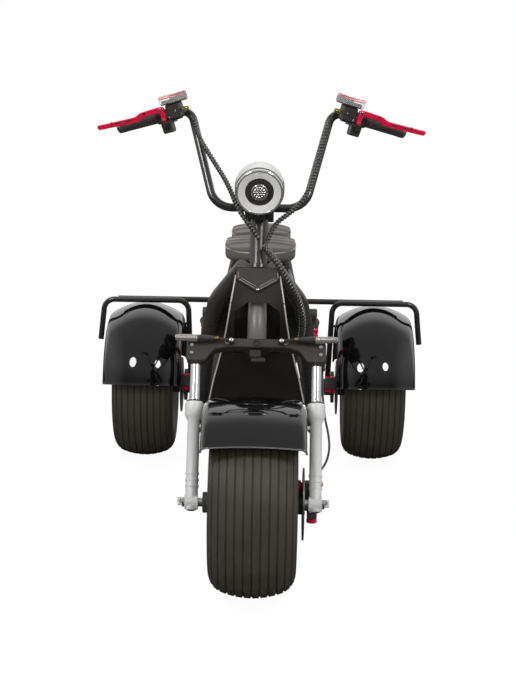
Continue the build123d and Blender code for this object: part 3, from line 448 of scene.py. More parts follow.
# Each finish: colour, second colour, roughness, its spread, relief in metres, other sockets
FINISHES = {
    "gloss_paint": ((0.0016, 0.0016, 0.0020), (0.0026, 0.0026, 0.0030), 0.12, 0.04, 0.000004, LACQUER),
    # The lip's light grey is a painted highlight along the fender's rolled edge
    "lip_painted_highlight": ((0.11, 0.11, 0.11), (0.09, 0.09, 0.09), 0.14, 0.04, 0.000004, {"Coat Weight": 1.0}),
    "frame_paint": ((0.022, 0.020, 0.018), (0.028, 0.026, 0.023), 0.30, 0.10, 0.00003, PLAIN),
    "bar_paint": ((0.012, 0.012, 0.012), (0.018, 0.017, 0.016), 0.22, 0.08, 0.00001, {"Coat Weight": 0.5}),
    "apron_paint": ((0.013, 0.011, 0.010), (0.016, 0.014, 0.012), 0.46, 0.08, 0.00002, DULL),
    "tyre_rubber": ((0.034, 0.030, 0.020), (0.026, 0.023, 0.015), 0.60, 0.12, 0.00008, PLAIN),
    "silver_cast": ((0.56, 0.56, 0.55), (0.54, 0.54, 0.53), 0.32, 0.04, 0.00003, {"Metallic": 0.25}),
    "chrome": ((0.80, 0.81, 0.82), (0.76, 0.77, 0.78), 0.08, 0.04, 0.000004, METAL),
    "bucket_chrome": ((0.60, 0.60, 0.59), (0.54, 0.54, 0.53), 0.12, 0.04, 0.000004, {"Metallic": 0.88}),
    "reflector": ((0.78, 0.77, 0.75), (0.70, 0.69, 0.67), 0.18, 0.05, 0.000004, {"Metallic": 0.40}),
    # The stem's paint is the frame's black made lighter: painted light on the stem sleeve
    "stem_painted_light": ((0.095, 0.092, 0.086), (0.110, 0.106, 0.100), 0.36, 0.08, 0.00002, PLAIN),
    "satin_chrome": ((0.62, 0.62, 0.63), (0.55, 0.55, 0.56), 0.24, 0.06, 0.00001, METAL),
    "red_anodised": ((0.80, 0.012, 0.070), (0.72, 0.010, 0.060), 0.20, 0.06, 0.00001, {"Metallic": 0.50}),
    "black_plastic": ((0.018, 0.017, 0.016), (0.024, 0.022, 0.020), 0.40, 0.10, 0.00006, PLAIN),
    # Near-black for black parts, and painted shade where it fills the lever's slots and the apron's arch
    "black_and_painted_shade": ((0.006, 0.006, 0.006), (0.009, 0.009, 0.009), 0.60, 0.10, 0.00002, PLAIN),
    "grip_rubber": ((0.024, 0.023, 0.021), (0.032, 0.030, 0.027), 0.58, 0.10, 0.00006, PLAIN),
    "brass": ((0.60, 0.40, 0.12), (0.48, 0.32, 0.10), 0.28, 0.08, 0.00002, METAL),
    "green_brass": ((0.36, 0.34, 0.10), (0.28, 0.27, 0.08), 0.28, 0.08, 0.00002, {"Metallic": 0.8}),
    "steel": ((0.56, 0.56, 0.56), (0.46, 0.46, 0.46), 0.32, 0.10, 0.00003, METAL),
    "disc_steel": ((0.42, 0.42, 0.42), (0.34, 0.34, 0.34), 0.34, 0.10, 0.00003, METAL),
    "dark_cast": ((0.026, 0.025, 0.024), (0.036, 0.034, 0.032), 0.50, 0.10, 0.0001, PLAIN),
    "leather": ((0.100, 0.092, 0.083), (0.082, 0.075, 0.068), 0.44, 0.10, 0.00022, PLAIN),
    "dark_leather": ((0.024, 0.021, 0.018), (0.030, 0.027, 0.023), 0.46, 0.10, 0.0002, SOFT_DULL),
    "piping": ((0.42, 0.40, 0.37), (0.36, 0.34, 0.31), 0.45, 0.10, 0.00004, PLAIN),
    "loom_wrap": ((0.020, 0.019, 0.017), (0.028, 0.026, 0.023), 0.20, 0.06, 0.00001, VINYL),
    "mat_rubber": ((0.022, 0.022, 0.021), (0.029, 0.028, 0.027), 0.62, 0.10, 0.0001, PLAIN),
    "red_lens": ((0.34, 0.008, 0.010), (0.28, 0.006, 0.008), 0.12, 0.04, 0.00001, {"Coat Weight": 0.6}),
    "smoked_lens": ((0.34, 0.33, 0.30), (0.27, 0.26, 0.24), 0.16, 0.04, 0.00001, MIRRORED),
}

# Each clear cover: colour, roughness
COVERS = {"clear_cover": ((0.95, 0.95, 0.92), 0.06), "pink_cover": ((0.95, 0.52, 0.55), 0.10)}

MATERIALS = {}


def make_materials(colours):
    """Every finish under its own name, its colour taken from the settings where they hold it."""
    surface_variation()
    leather_grain()
    for name, (colour, second, roughness, spread, relief, sockets) in FINISHES.items():
        colour = getattr(colours, name, colour)
        MATERIALS[name] = finish_material(name, colour, second, roughness, spread, relief, sockets)
    for name, (colour, roughness) in COVERS.items():
        material = finish_material(
            name, colour, colour, roughness, 0.04, 0.00001, {"Transmission Weight": 0.85, "IOR": 1.35}
        )
        MATERIALS[name] = material


SMOOTH_BELOW = 32.0


def smoothing_nodes(angle):
    """A geometry group that merges a node's loose triangles and shades smooth below the given angle."""
    tree = bpy.data.node_groups.new("Merge And Smooth", "GeometryNodeTree")
    tree.interface.new_socket("Geometry", in_out="INPUT", socket_type="NodeSocketGeometry")
    tree.interface.new_socket("Geometry", in_out="OUTPUT", socket_type="NodeSocketGeometry")
    given = tree.nodes.new("NodeGroupInput").outputs[0]
    out = tree.nodes.new("NodeGroupOutput").inputs[0]
    merge = add_node(tree, "GeometryNodeMergeByDistance", {"Geometry": given, "Distance": 1e-6})
    faces = add_node(tree, "GeometryNodeSetShadeSmooth", {0: merge.outputs[0]}, domain="FACE")
    faces.inputs["Shade Smooth"].default_value = True
    edge_angle = add_node(tree, "GeometryNodeInputMeshEdgeAngle")
    sharp = add_node(
        tree, "FunctionNodeCompare", {0: edge_angle.outputs[0], 1: radians(angle)}, operation="GREATER_THAN"
    )
    edges = add_node(
        tree, "GeometryNodeSetShadeSmooth", {0: faces.outputs[0], 1: sharp.outputs[0]}, domain="EDGE"
    )
    edges.inputs["Shade Smooth"].default_value = False
    tree.links.new(edges.outputs[0], out)


def dress(node, finish):
    """Give a CAD node its material and smooth shading."""
    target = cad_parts[node]
    target.data.materials.clear()
    target.data.materials.append(MATERIALS[finish])
    smoothing = target.modifiers.new("Smoothing", "NODES")
    smoothing.node_group = bpy.data.node_groups["Merge And Smooth"]


# The finish of every CAD node; most of those that pieces stand for stay hidden
NODE_FINISHES = {
    "silver_cast": ("fork_legs",),
    "satin_chrome": ("fork_tubes",),
    "chrome": ("headlight_bucket",),
    "steel": ("front_axle", "grip_caps", "headlight_lens"),
    "frame_paint": (
        "lower_clamp", "steering_stem", "head_tube", "frame_rails", "cross_tubes", "top_tubes", "shock_bar",
        "seat_pan", "rear_arms",
    ),
    "bar_paint": ("bar_clamp", "handlebar", "fender_hoops"),
    "grip_rubber": ("grips",),
    "black_plastic": ("master_cylinders", "switch_boxes", "front_indicators"),
    "clear_cover": ("fluid_reservoirs",),
    "red_anodised": ("brake_levers", "front_caliper", "rear_calipers", "shock_absorbers"),
    "gloss_paint": ("front_fender", "rear_fenders"),
    "loom_wrap": ("left_bar_loom", "right_bar_loom", "wiring_loom", "front_brake_hose"),
    "apron_paint": ("apron", "inner_panel"),
    "leather": ("front_seat", "rear_seat"),
    "dark_leather": ("shield_plate",),
    "dark_cast": (
        "footboard", "battery_case", "axle_housing", "drive_motor", "front_rim", "left_rim", "right_rim",
    ),
    "mat_rubber": ("deck_mat",),
    "red_lens": ("tail_light",),
    "disc_steel": ("front_brake_disc", "left_brake_disc", "right_brake_disc"),
    "tyre_rubber": ("front_tyre", "left_tyre", "right_tyre"),
}


# Cords

# Each route in the vehicle's millimetres, in the order in which the cord leaves the steering
LEFT_LOOM = (
    (182, 481, 1147), (164.3, 449.2, 1085), (148, 420.4, 1027), (133.8, 395, 978), (116, 376, 944),
    (94, 364, 920), (70, 354, 902), (47, 342, 886), (31, 330, 862), (22, 322, 836),
)
RIGHT_LOOM = (
    (-182, 481, 1147), (-175.6, 469.8, 1125), (-163, 450, 1094), (-140, 426, 1060), (-115, 402, 1025),
    (-92, 376, 994), (-74, 350, 962), (-60, 330, 930), (-40, 318, 900), (-18, 312, 872), (2, 312, 844),
)
MAIN_LOOM = (
    (14, 310, 826), (32, 291, 808), (50, 274, 788), (70, 267, 760), (91, 269, 724), (110, 280, 684),
    (120, 294, 634), (116, 318, 582), (106, 352, 534), (92, 394, 486), (78, 440, 436), (66, 488, 390),
    (57, 540, 358), (52, 576, 336), (51, 590, 316), (51, 590, 291.6),
)
BRAKE_HOSE = (
    (170, 186.1, 526.4), (170, 166.6, 488), (173, 150, 450), (178, 136, 410), (188, 122, 372),
    (191, 108, 334), (180, 92, 300), (160, 80, 282), (156, 78, 263),
)


# Each cord that turns with the steering: node, route, radius, length and the pitch of its wrap, in metres
LOOM_PITCH = 0.0092
STEERED_CORDS = (
    ("left_bar_loom", LEFT_LOOM, 0.0065, 0.394, LOOM_PITCH),
    ("right_bar_loom", RIGHT_LOOM, 0.0065, 0.401, LOOM_PITCH),
    ("front_brake_hose", BRAKE_HOSE, 0.003, 0.295, 0.006),
)


def smooth_line(name, route):
    """The smooth spline that a route's points control, read back as points in metres."""
    curve = bpy.data.curves.new(name, "CURVE")
    curve.dimensions = "3D"
    spline = curve.splines.new("NURBS")
    spline.points.add(len(route) - 1)
    spline.points.foreach_set("co", np.hstack([STANDING(route), np.ones((len(route), 1))]).ravel())
    spline.order_u = 3
    spline.use_endpoint_u = True
    spline.resolution_u = 16
    holder = bpy.data.objects.new(name, curve)
    mesh = bpy.data.meshes.new_from_object(holder)
    line = np.empty(len(mesh.vertices) * 3)
    mesh.vertices.foreach_get("co", line)
    bpy.data.objects.remove(holder)
    bpy.data.meshes.remove(mesh)
    return line.reshape(-1, 3)


def in_metres(points, side=1):
    """Points that are in the row frame already."""
    return points * (side, 1, 1)


def wrapped(line, radius, pitch, depth, sides=18):
    """A tube with a band wound round it: r falls by depth in a bell where length / pitch - turns is whole."""
    line = resampled(line, pitch / 8)
    length = np.linspace(0, 1, len(line)) * np.linalg.norm(np.diff(line, axis=0), axis=1).sum()
    angle = np.linspace(0, 1, sides, endpoint=False)
    winding = (length[:, None] / pitch - angle[None, :]) % 1
    gap = smooth_step((0.42 - np.abs(winding - 0.5)) / 0.42)
    return tube(line, radius * 1.08 - depth * gap, sides)


def make_cord(node, route, radius, body, pitch):
    """One loom or hose along its route."""
    line = smooth_line(node, route)
    skin = wrapped(line, radius, pitch, radius * 0.30)
    made = piece(node + "_wrap", [(skin, 0)], ["loom_wrap"], body, [node], in_metres, sharp=60)
    return made


# Tyres

# Each tyre: node, body, centre in millimetres, width
TYRES = (
    ("front_tyre", "front_wheel", (0, 0, AXLE_HEIGHT), 217.0),
    ("left_tyre", "left_wheel", (REAR_HALF_TRACK, WHEELBASE, AXLE_HEIGHT), 195.0),
    ("right_tyre", "right_wheel", (-REAR_HALF_TRACK, WHEELBASE, AXLE_HEIGHT), 195.0),
)
TYRE_RADIUS = 234.0
RIM_RADIUS = 101.0
FLANGE_RISE = 12.5

# Shares of a tyre's width: the crown's half width and drop, the bead's half width, and how far the belt lies
# below the shoulder for each millimetre outside it
SHOULDER_SHARE = 0.34
CROWN_DROP_SHARE = 0.062
BEAD_SHARE = 0.37
BELT_SLOPE = 1.45


def belt_arc(belt, end, count):
    """The arc that leaves the belt upright and ends at a point, as count points."""
    across, rise = end[0] - belt[0], end[1] - belt[1]
    radius = -(across * across + rise * rise) / (2 * across)
    sweep = np.linspace(0, np.arctan2(rise, across + radius), count)
    return np.stack([belt[0] - radius + radius * np.cos(sweep), belt[1] + radius * np.sin(sweep)], axis=1)


def tyre_outline(width, sizes):
    """A tyre's outline over its crown as (x, r), evenly spaced, each groove pressed in along its normal."""
    shoulder = np.array([SHOULDER_SHARE * width, TYRE_RADIUS - CROWN_DROP_SHARE * width])
    belt = (width / 2, shoulder[1] - BELT_SLOPE * (width / 2 - shoulder[0]))
    foot = np.array([[BEAD_SHARE * width, RIM_RADIUS]])
    side = belt_arc(belt, (BEAD_SHARE * width, RIM_RADIUS + FLANGE_RISE), 40)[::-1]
    drop = TYRE_RADIUS - shoulder[1]
    crown_radius = (shoulder[0] ** 2 + drop**2) / (2 * drop)
    sweep = np.linspace(np.arcsin(shoulder[0] / crown_radius), 0, 60)
    centre = TYRE_RADIUS - crown_radius
    crown = np.stack([crown_radius * np.sin(sweep), centre + crown_radius * np.cos(sweep)], axis=1)
    half = np.concatenate([foot, side, belt_arc(belt, shoulder, 24)[1:], crown[1:]])
    line = resampled(np.concatenate([half, half[-2::-1] * (-1, 1)]), 1.0)
    along = np.linspace(-0.5, 0.5, len(line)) * np.linalg.norm(np.diff(line, axis=0), axis=1).sum()
    return line - tread_depth(along, width, sizes)[:, None] * outward(line)


def outward(line):
    """Unit normals of a line in (x, r) that runs from +x to -x."""
    run = np.gradient(line, axis=0)
    run /= np.linalg.norm(run, axis=1, keepdims=True)
    return np.stack([run[:, 1], -run[:, 0]], axis=1)


def tread_depth(along, width, sizes):
    """How deep the tread is cut: a groove each pitch, a hairline between, and fine rings on the sides."""
    pitch, half_groove = sizes.groove_pitch * 1000, sizes.groove_width * 500
    off = np.abs((along / pitch + 0.5) % 1 - 0.5) * pitch
    fine = np.abs((along / pitch) % 1 - 0.5) * pitch
    reach = np.abs(along)
    tread = smooth_step((width * 0.60 - reach) / 4)
    depth = sizes.groove_depth * 1000 * smooth_step((half_groove + 1 - off) / 1.6) * tread
    depth += 0.5 * smooth_step((1.3 - fine) / 0.9) * tread
    ring = np.abs(((reach - width * 0.72) / 7) % 1 - 0.5) * 7
    return depth + 0.6 * smooth_step((1.2 - ring) / 0.9) * (reach > width * 0.70) * (reach < width * 0.86)


def make_tyre(node, body, centre, width, sizes):
    """One grooved tyre: the outline turned about the axle, closed inside the rim."""
    outline = tyre_outline(width, sizes)
    inside = np.array([[-width * 0.33, RIM_RADIUS + 3], [width * 0.33, RIM_RADIUS + 3]])
    skin = revolve(np.concatenate([outline, inside]), centre, (1, 0, 0), 120, closed=True)
    return piece(node + "_tread", [(skin, 0)], ["tyre_rubber"], body, [node], sharp=60)


# Fenders


def arch_line(half, skirt, side, crown, count=120):
    """A fender's section from skirt to skirt as (x, r): upright sides, soft shoulders and a crowned top."""
    x = np.linspace(half, -half, 61)
    top = np.stack([x, crown - (crown - side) * (x / half) ** 2], axis=1)
    line = resampled(np.concatenate([[(half, skirt)], top, [(-half, skirt)]]), 1.5)
    line = averaged(line, 29)
    share = np.linspace(0, 1, count) * (len(line) - 1)
    return np.stack([np.interp(share, np.arange(len(line)), column) for column in line.T], axis=1)


# A fender's wall, its lip's swell and width, and the rough length and radius that the lip is measured along
FENDER_WALL = 3.0
LIP_SWELL = 1.4
LIP_WIDTH = 7.0
SECTION_LENGTH = 520.0
SWEEP_RADIUS = 260.0


def fender_skin(sections, angles, centre):
    """A shell of walls swept over an axle by angles from the front horizon, with a rolled lip at every edge.

    A point of a section goes to centre + (x, -r cos a, r sin a); the lip swells both faces in a bell.
    """
    sections = np.asarray(sections)
    rows, count = sections.shape[:2]
    length = np.linspace(0, 1, count) * SECTION_LENGTH
    edge = np.minimum(length, length[::-1])[None, :]
    run = np.minimum(np.arange(rows), np.arange(rows)[::-1])[:, None] * (angles[1] - angles[0]) * SWEEP_RADIUS
    swell = LIP_SWELL * smooth_step(1 - np.minimum(edge, run) / LIP_WIDTH)
    normals = np.stack([outward(section) for section in sections])
    outer = sections + normals * swell[..., None]
    inner = sections - normals * (FENDER_WALL + swell)[..., None]
    loop = np.concatenate([outer, inner[:, ::-1]], axis=1)
    middle = (outer + inner) / 2
    end = np.concatenate([middle, middle[:, ::-1]], axis=1)
    loop = np.concatenate([end[:1], loop, end[-1:]])
    turn = np.concatenate([angles[:1], angles, angles[-1:]])[:, None]
    x, r = loop[..., 0], loop[..., 1]
    grid = np.stack([x, -r * np.cos(turn), r * np.sin(turn)], axis=-1) + np.asarray(centre)
    return Skin(grid, False, True, False)


def fender_bead(sections, angles, centre, radius=2.3):
    """A bead inside the rolled lip, down one skirt, along the front section and up the other skirt."""
    sections = np.asarray(sections)
    front = sections[0] - outward(sections[0]) * FENDER_WALL / 2
    left = sections[::-1, 0] - (FENDER_WALL / 2, 0)
    right = sections[:, -1] + (FENDER_WALL / 2, 0)
    line = np.concatenate([left, front, right])
    turn = np.concatenate([angles[::-1], np.full(len(front), angles[0]), angles])
    path = np.stack([line[:, 0], -line[:, 1] * np.cos(turn), line[:, 1] * np.sin(turn)], axis=1)
    reference = (1, sin(angles[0]), cos(angles[0]))
    return tube(resampled(path, 3) + np.asarray(centre), radius, 12, reference)


# Each fender: half width, radius at its sides and at its crown, first and last angle from the front horizon
FRONT_FENDER = (128, 255, 266, 47, 150)
REAR_FENDER = (123, 228, 272, 11.7, 168.3)

# The front fender's skirts end on a plane this far above the axle that falls to the rear with this slope; the
# rear fenders' skirts end at one radius
SKIRT_HEIGHT = 150.5
SKIRT_SLOPE = 0.135
REAR_SKIRT_RADIUS = 205


def make_front_fender():
    """The front fender, its skirts cut by a sloping plane, with a light grey bead in its lip as a painted
    highlight.
    """
    half, side, crown, first, last = FRONT_FENDER
    angles = np.radians(np.linspace(first, last, 90))
    cut = SKIRT_HEIGHT / (np.sin(angles) - SKIRT_SLOPE * np.cos(angles))
    sections = [arch_line(half, skirt, side, crown) for skirt in np.clip(cut, 150, 246)]
    centre = (0, 0, AXLE_HEIGHT)
    parts = [(fender_skin(sections, angles, centre), 0), (fender_bead(sections, angles, centre), 1)]
    # The bead's light grey is a painted highlight along the lip
    finishes = ["gloss_paint", "lip_painted_highlight"]
    return piece("front_fender_shell", parts, finishes, "steering", ["front_fender"], sharp=50)


def make_rear_fenders():
    """The two rear fenders, each one section swept over its wheel."""
    half, side, crown, first, last = REAR_FENDER
    angles = np.radians(np.linspace(first, last, 120))
    sections = [arch_line(half, REAR_SKIRT_RADIUS, side, crown)] * len(angles)
    parts = [(fender_skin(sections, angles, (REAR_HALF_TRACK, WHEELBASE, AXLE_HEIGHT)), 0)]
    nodes = ["rear_fenders"]
    finishes = ["gloss_paint"]
    return piece("rear_fender_shells", parts, finishes, "chassis", nodes, sides=BOTH, sharp=50)


# Seats


# A cushion's shape in shares of its half sizes: its roundness, how far the crown falls across and along, how
# deep a channel is pressed, and how far the sides pull in between the corners
CUSHION_POWER = 4.2
FALL_ACROSS = 0.30
FALL_ALONG = 0.16
CHANNEL_DEPTH = 0.16
SIDE_PULL = 0.035


def cushion(front, back, half, bottom, top, channels, nose, rows=72, columns=160):
    """A crowned cushion with sewn channels across it, as a skin.

    It starts as a box with rounded edges, |x|^p + |y|^p + |z|^q = 1. The top is crowned along and across, the
    nose falls, each channel presses a bell into the top, and the sides pull in between the corners.
    """
    centre = np.array([0, (front + back) / 2, (bottom + top) / 2])
    size = np.array([half, (back - front) / 2, (top - bottom) / 2])
    grid = soft_box((0, 0, 0), (1, 1, 1), CUSHION_POWER, rows, columns).points
    x, y, z = grid[..., 0], grid[..., 1], grid[..., 2]
    high = smooth_step((z + 0.1) / 0.7)
    crown = (1 - FALL_ACROSS * x * x - FALL_ALONG * y * y) * high
    fall = nose * smooth_step((-y - 0.25) / 0.75) * high
    spacing = (channels[1] - channels[0]) / max(1, channels[2] - 1)
    offset = np.abs(((y - channels[0]) / spacing + 0.5) % 1 - 0.5) * spacing
    inside = (y > channels[0] - spacing / 2) * (y < channels[1] + spacing / 2) * (np.abs(x) < 0.93)
    groove = CHANNEL_DEPTH * smooth_step(1 - offset / (spacing * 0.34)) * inside * high
    pull = 1 - SIDE_PULL * (1 - z * z) * (1 - np.abs(x * y))
    rise = z * (1 - high) + high * (z * 0.25 + 0.75 * crown) - fall - groove
    shaped = np.stack([x * pull, y * pull, rise], axis=-1)
    return Skin(shaped * size + centre, False, True, False)


def seam_piping(front, back, half, height, radius, sag=13.0):
    """Piping round a cushion: |x|^p + |y|^p = 1 at one height, with a dip between the front corners."""
    turn = np.linspace(0, 2 * pi, 161)
    x = np.sign(np.cos(turn)) * np.abs(np.cos(turn)) ** (2 / CUSHION_POWER)
    y = np.sign(np.sin(turn)) * np.abs(np.sin(turn)) ** (2 / CUSHION_POWER)
    dip = sag * (1 - np.abs(x) ** 3) * (y < 0)
    path = np.stack([x * half, y * (back - front) / 2 + (front + back) / 2, height - dip], axis=1)
    return tube(path, radius, 10, (0, 0, 1))


# Each seat: piece, node, front, back, half width, bottom, top, channels and nose fall. The channels are the
# first and the last place along the cushion, where its half length is 1, and their count.
SEATS = (
    ("saddle", "front_seat", 850.0, 1058.0, 108.0, 697.5, 765.0, (-0.62, 0.66, 6), 0.30),
    ("passenger_pad", "rear_seat", 1059.0, 1238.0, 94.0, 697.5, 780.0, (-0.60, 0.60, 4), 0.10),
)
PIPING_DROP = 22.0


def make_seat(name, node, front, back, half, bottom, top, channels, nose):
    """One seat with its piping."""
    parts = [
        (cushion(front, back, half, bottom, top, channels, nose), 0),
        (seam_piping(front + 2.5, back - 2.5, half - 2.0, top - PIPING_DROP, 1.5), 1),
    ]
    made = piece(name, parts, ["leather", "piping"], "chassis", [node], sharp=70)
    return made


# Headlight


def make_headlight():
    """The bucket with its bezel, the bright reflector, the dark ring and the small lens in the middle."""
    reflector = [(8.2, 36.8), (6.5, 40), (1.5, 53), (0.4, 55.4), (1.0, 55.8)]
    shell = [
        (1.0, 55.2), (0.2, 56), (0, 58), (0.8, 60), (2.4, 61.4), (4.5, 62), (10.5, 62),
        (11.3, 61), (11.8, 59.4), (13.0, 59.4), (13.5, 61.5), (14.2, 63.6), (15.5, 64.4), (50, 64.5),
        (60, 63.6), (70, 61), (80, 56), (90, 48), (98, 38), (103, 26), (105.6, 12), (106, 0),
        (102, 0), (101, 24), (88, 46), (56, 60.5), (20, 60.5), (9, 55.2),
    ]
    seams = [(11.4, 60.2), (11.4, 59.0), (13.2, 59.0), (13.2, 60.2)]
    dark_ring = [
        (8.4, 37.4), (7.4, 36.6), (7.4, 34.5), (8.6, 33.5), (8.6, 23.5), (6.2, 22.4), (5.4, 20.6), (9, 18.5),
    ]
    lens = [(5.0, 20.4), (3.4, 19.8), (2.6, 18.0), (1.9, 14.0), (1.4, 8.0), (1.2, 0.0)]
    rim_ring = [(5.2, 18.6), (2.2, 19.0), (1.8, 20.4), (3.0, 21.6), (6.0, 21.8)]
    parts = [
        (revolve(shell, steps=96, closed=True), 0),
        (revolve(reflector, steps=96), 5),
        (revolve(seams, steps=96), 2),
        (revolve(dark_ring, steps=96), 2),
        (revolve(lens, steps=64), 3),
        (revolve(rim_ring, steps=64, closed=True), 1),
    ]
    for count, ring in ((1, 0.0), (6, 7.0), (12, 13.2)):
        for turn in np.linspace(0, 2 * pi, count, endpoint=False):
            cell = [(2.6, 3.0), (1.4, 2.8), (0.5, 1.8), (0.2, 0)]
            parts.append((revolve(cell, (ring * cos(turn), ring * sin(turn), 0), steps=12), 4))
    for turn in np.linspace(0, 2 * pi, 24, endpoint=False):
        across, up = 28.6 * cos(turn), 28.6 * sin(turn)
        parts.append((revolve([(9, 2.4), (7.6, 2.2), (7.0, 0)], (across, up, 0), steps=10), 2))
    finishes = ["bucket_chrome", "satin_chrome", "black_plastic", "smoked_lens", "satin_chrome", "reflector"]
    nodes = ["headlight_bucket", "headlight_lens"]
    return piece("headlight", parts, finishes, "steering", nodes, LAMP, sharp=30)


# Hand controls, drawn in the +X hand's axes and mirrored


def make_grips():
    """Ribbed rubber grips with a flange at each end."""
    count = 24
    profile = [(98, 11.3), (98, 19), (99, 20), (102, 20), (103.5, 17)]
    for index in range(count):
        start = 105 + index * 4.3
        profile += [(start, 15.2), (start + 0.8, 16.3), (start + 2.8, 16.3), (start + 3.6, 15.2)]
    profile += [(209.5, 16.6), (213, 16.8), (214, 15.8), (214, 11.3)]
    parts = [(revolve(profile, steps=48), 0)]
    return piece("grip_sleeves", parts, ["grip_rubber"], "steering", ["grips"], HAND, BOTH)


def make_levers():
    """Red levers with bevelled edges, near-black plates in the slots along the blade as painted shade, and
    pivot screws.
    """
    outline = [
        (-14, 54), (28, 54), (26, 124), (18, 142), (21, 248), (22, 258), (16, 262), (9, 258), (8, 248),
        (3, 136), (12, 114), (14, 67), (-14, 67),
    ]
    parts = [(plate(rounded(outline, 0.12, 3), -56, -45, 1.8, "yz"), 0)]
    # The slots and the step are near-black plates set flush in the blade: painted shade in place of holes
    for low, high, rise in ((152, 176, 13.0), (184, 208, 14.0)):
        slot = [(rise - 1.8, low), (rise + 1.8, low), (rise + 2.2, high), (rise - 1.4, high)]
        parts.append((plate(rounded(slot, 0.3, 2), -56.3, -50, 0.3, "yz"), 1))
    step = [(8.5, 214), (21, 214), (21.4, 217), (8.5, 217)]
    parts.append((plate(step, -56.25, -50, 0.2, "yz"), 1))
    parts.append((bolt((-56, 20, 62), (-1, 0, 0), 4.6, 2.2), 2))
    parts.append((bolt((-56, -8, 60.5), (-1, 0, 0), 3.2, 1.8), 2))
    parts.append((bolt((-56, 21, 112), (-1, 0, 0), 3.0, 1.4), 1))
    finishes = ["red_anodised", "black_and_painted_shade", "steel"]
    return piece("lever_blades", parts, finishes, "steering", ["brake_levers"], HAND, BOTH)


def make_reservoirs():
    """Clear hexagonal reservoirs on a black base, with the dark bellows inside and a pink lid."""
    outline = [(-57, -2), (-44, -10), (-18, -10), (-6, 2), (-6, 52), (-20, 70), (-40, 70), (-57, 50)]
    middle = np.mean(outline, axis=0)
    soft = rounded(outline, 0.2, 2)
    small = middle + (soft - middle) * 0.72
    parts = [
        (plate(middle + (soft - middle) * 0.93, 28.3, 31.5, 0.6), 1),
        (plate(soft, 31.5, 45.0, 0.8), 0),
        (plate(small, 32.5, 40.0, 2.0), 1),
        (plate(soft, 45.2, 52.3, 1.6), 2),
    ]
    for across, along in ((-44, 0), (-44, 58), (-16, 0), (-16, 58)):
        parts.append((bolt((across, 52.0, along), (0, 1, 0), 2.6, 1.3), 3))
    finishes = ["clear_cover", "black_plastic", "pink_cover", "steel"]
    return piece("reservoirs", parts, finishes, "steering", ["fluid_reservoirs"], HAND, BOTH)


def make_cylinders():
    """Master cylinders: a rounded casting with its clamp on the bar, the lever's ears and the banjo bolt."""
    casting = [(-52, 12), (-46, 10), (-20, 10), (-14, 14), (-14, 46), (-20, 52), (-46, 52), (-52, 46)]
    barrel = [(30, 8), (31, 8.6), (34, 8.6), (36, 8.6), (58, 8.0), (60, 6.8), (60, 0)]
    clamp = [(32, 11.2), (32, 17.2), (33.2, 18.4), (50.8, 18.4), (52, 17.2), (52, 11.2)]
    banjo = [
        (-7, 0), (-7, 5.2), (-6, 6.2), (-2, 6.2), (-1.6, 4.6), (0, 4.6), (0.4, 7.0), (3.6, 7.0), (4, 4.6),
        (6, 4.6),
    ]
    ear = [(-52, 38), (-14, 38), (-14, 52), (-40, 66), (-52, 66)]
    parts = [
        (plate(rounded(casting, 0.2, 2), -13, 28, 3.0), 0),
        (revolve(clamp, steps=48, closed=True), 0),
        (revolve(barrel, (-42, -2, 0)), 0),
        (plate(rounded(ear, 0.15, 2), -21, -14.4, 1.2), 0),
        (revolve(banjo, (-33, 6, 1)), 1),
        (hex_nut((-33, 6, -6), (0, 0, -1), 5.6, 3.4), 1),
        (bolt((-30, 13, 32), (-0.2, 1, 0), 3.4, 2.4), 2),
        (bolt((-52, 8, 22), (-1, 0, 0), 3.0, 2.0), 2),
        (bolt((-52, -6, 44), (-1, 0, 0), 3.0, 2.0), 2),
        (soft_box((12, 2, 42), (10, 15, 9.5), 5, 16, 32), 0),
        (bolt((18, 15, 42), (0, 1, 0), 3.0, 2.4), 2),
        (bolt((18, -13, 42), (0, -1, 0), 3.0, 2.4), 2),
    ]
    finishes = ["black_plastic", "green_brass", "steel"]
    nodes = ["master_cylinders"]
    return piece("cylinder_castings", parts, finishes, "steering", nodes, HAND, BOTH)


def make_switches():
    """Switch housings split round the bar, each with a tapered box below, buttons and a lever."""
    head = [(-18, -14), (-18, 14), (-12, 18), (12, 18), (18, 12), (18, -14), (12, -18), (-12, -18)]
    head = rounded(head, 0.2, 2)
    box = rounded([(-16, -12), (14, -12), (13, -46), (9, -48), (-9, -48), (-13, -46)], 0.2, 2)
    parts = [
        (plate(head, 62, 79.4, 2.2, "xy"), 0),
        (plate(head, 80.2, 97.7, 2.2, "xy"), 0),
        (plate(box, 64, 93, 2.4, "xy"), 0),
        (soft_box((-18.5, 4, 71), (3.2, 4.2, 4.2), 4, 12, 24), 1),
        (soft_box((-18.5, 4, 88), (3.4, 3.4, 6.0), 4, 12, 24), 2),
        (soft_box((-15.0, -30, 78), (3.6, 7.0, 8.0), 4, 12, 24), 2),
        (bolt((-8, -18, 71), (0, -1, 0), 2.4, 1.2), 3),
        (bolt((-15.0, -20, 69), (-1, 0, 0), 2.2, 1.4), 3),
    ]
    finishes = ["black_plastic", "red_anodised", "black_and_painted_shade", "steel"]
    return piece("switch_housings", parts, finishes, "steering", ["switch_boxes"], HAND, BOTH)


# Clamp and indicators, in the steering's axes


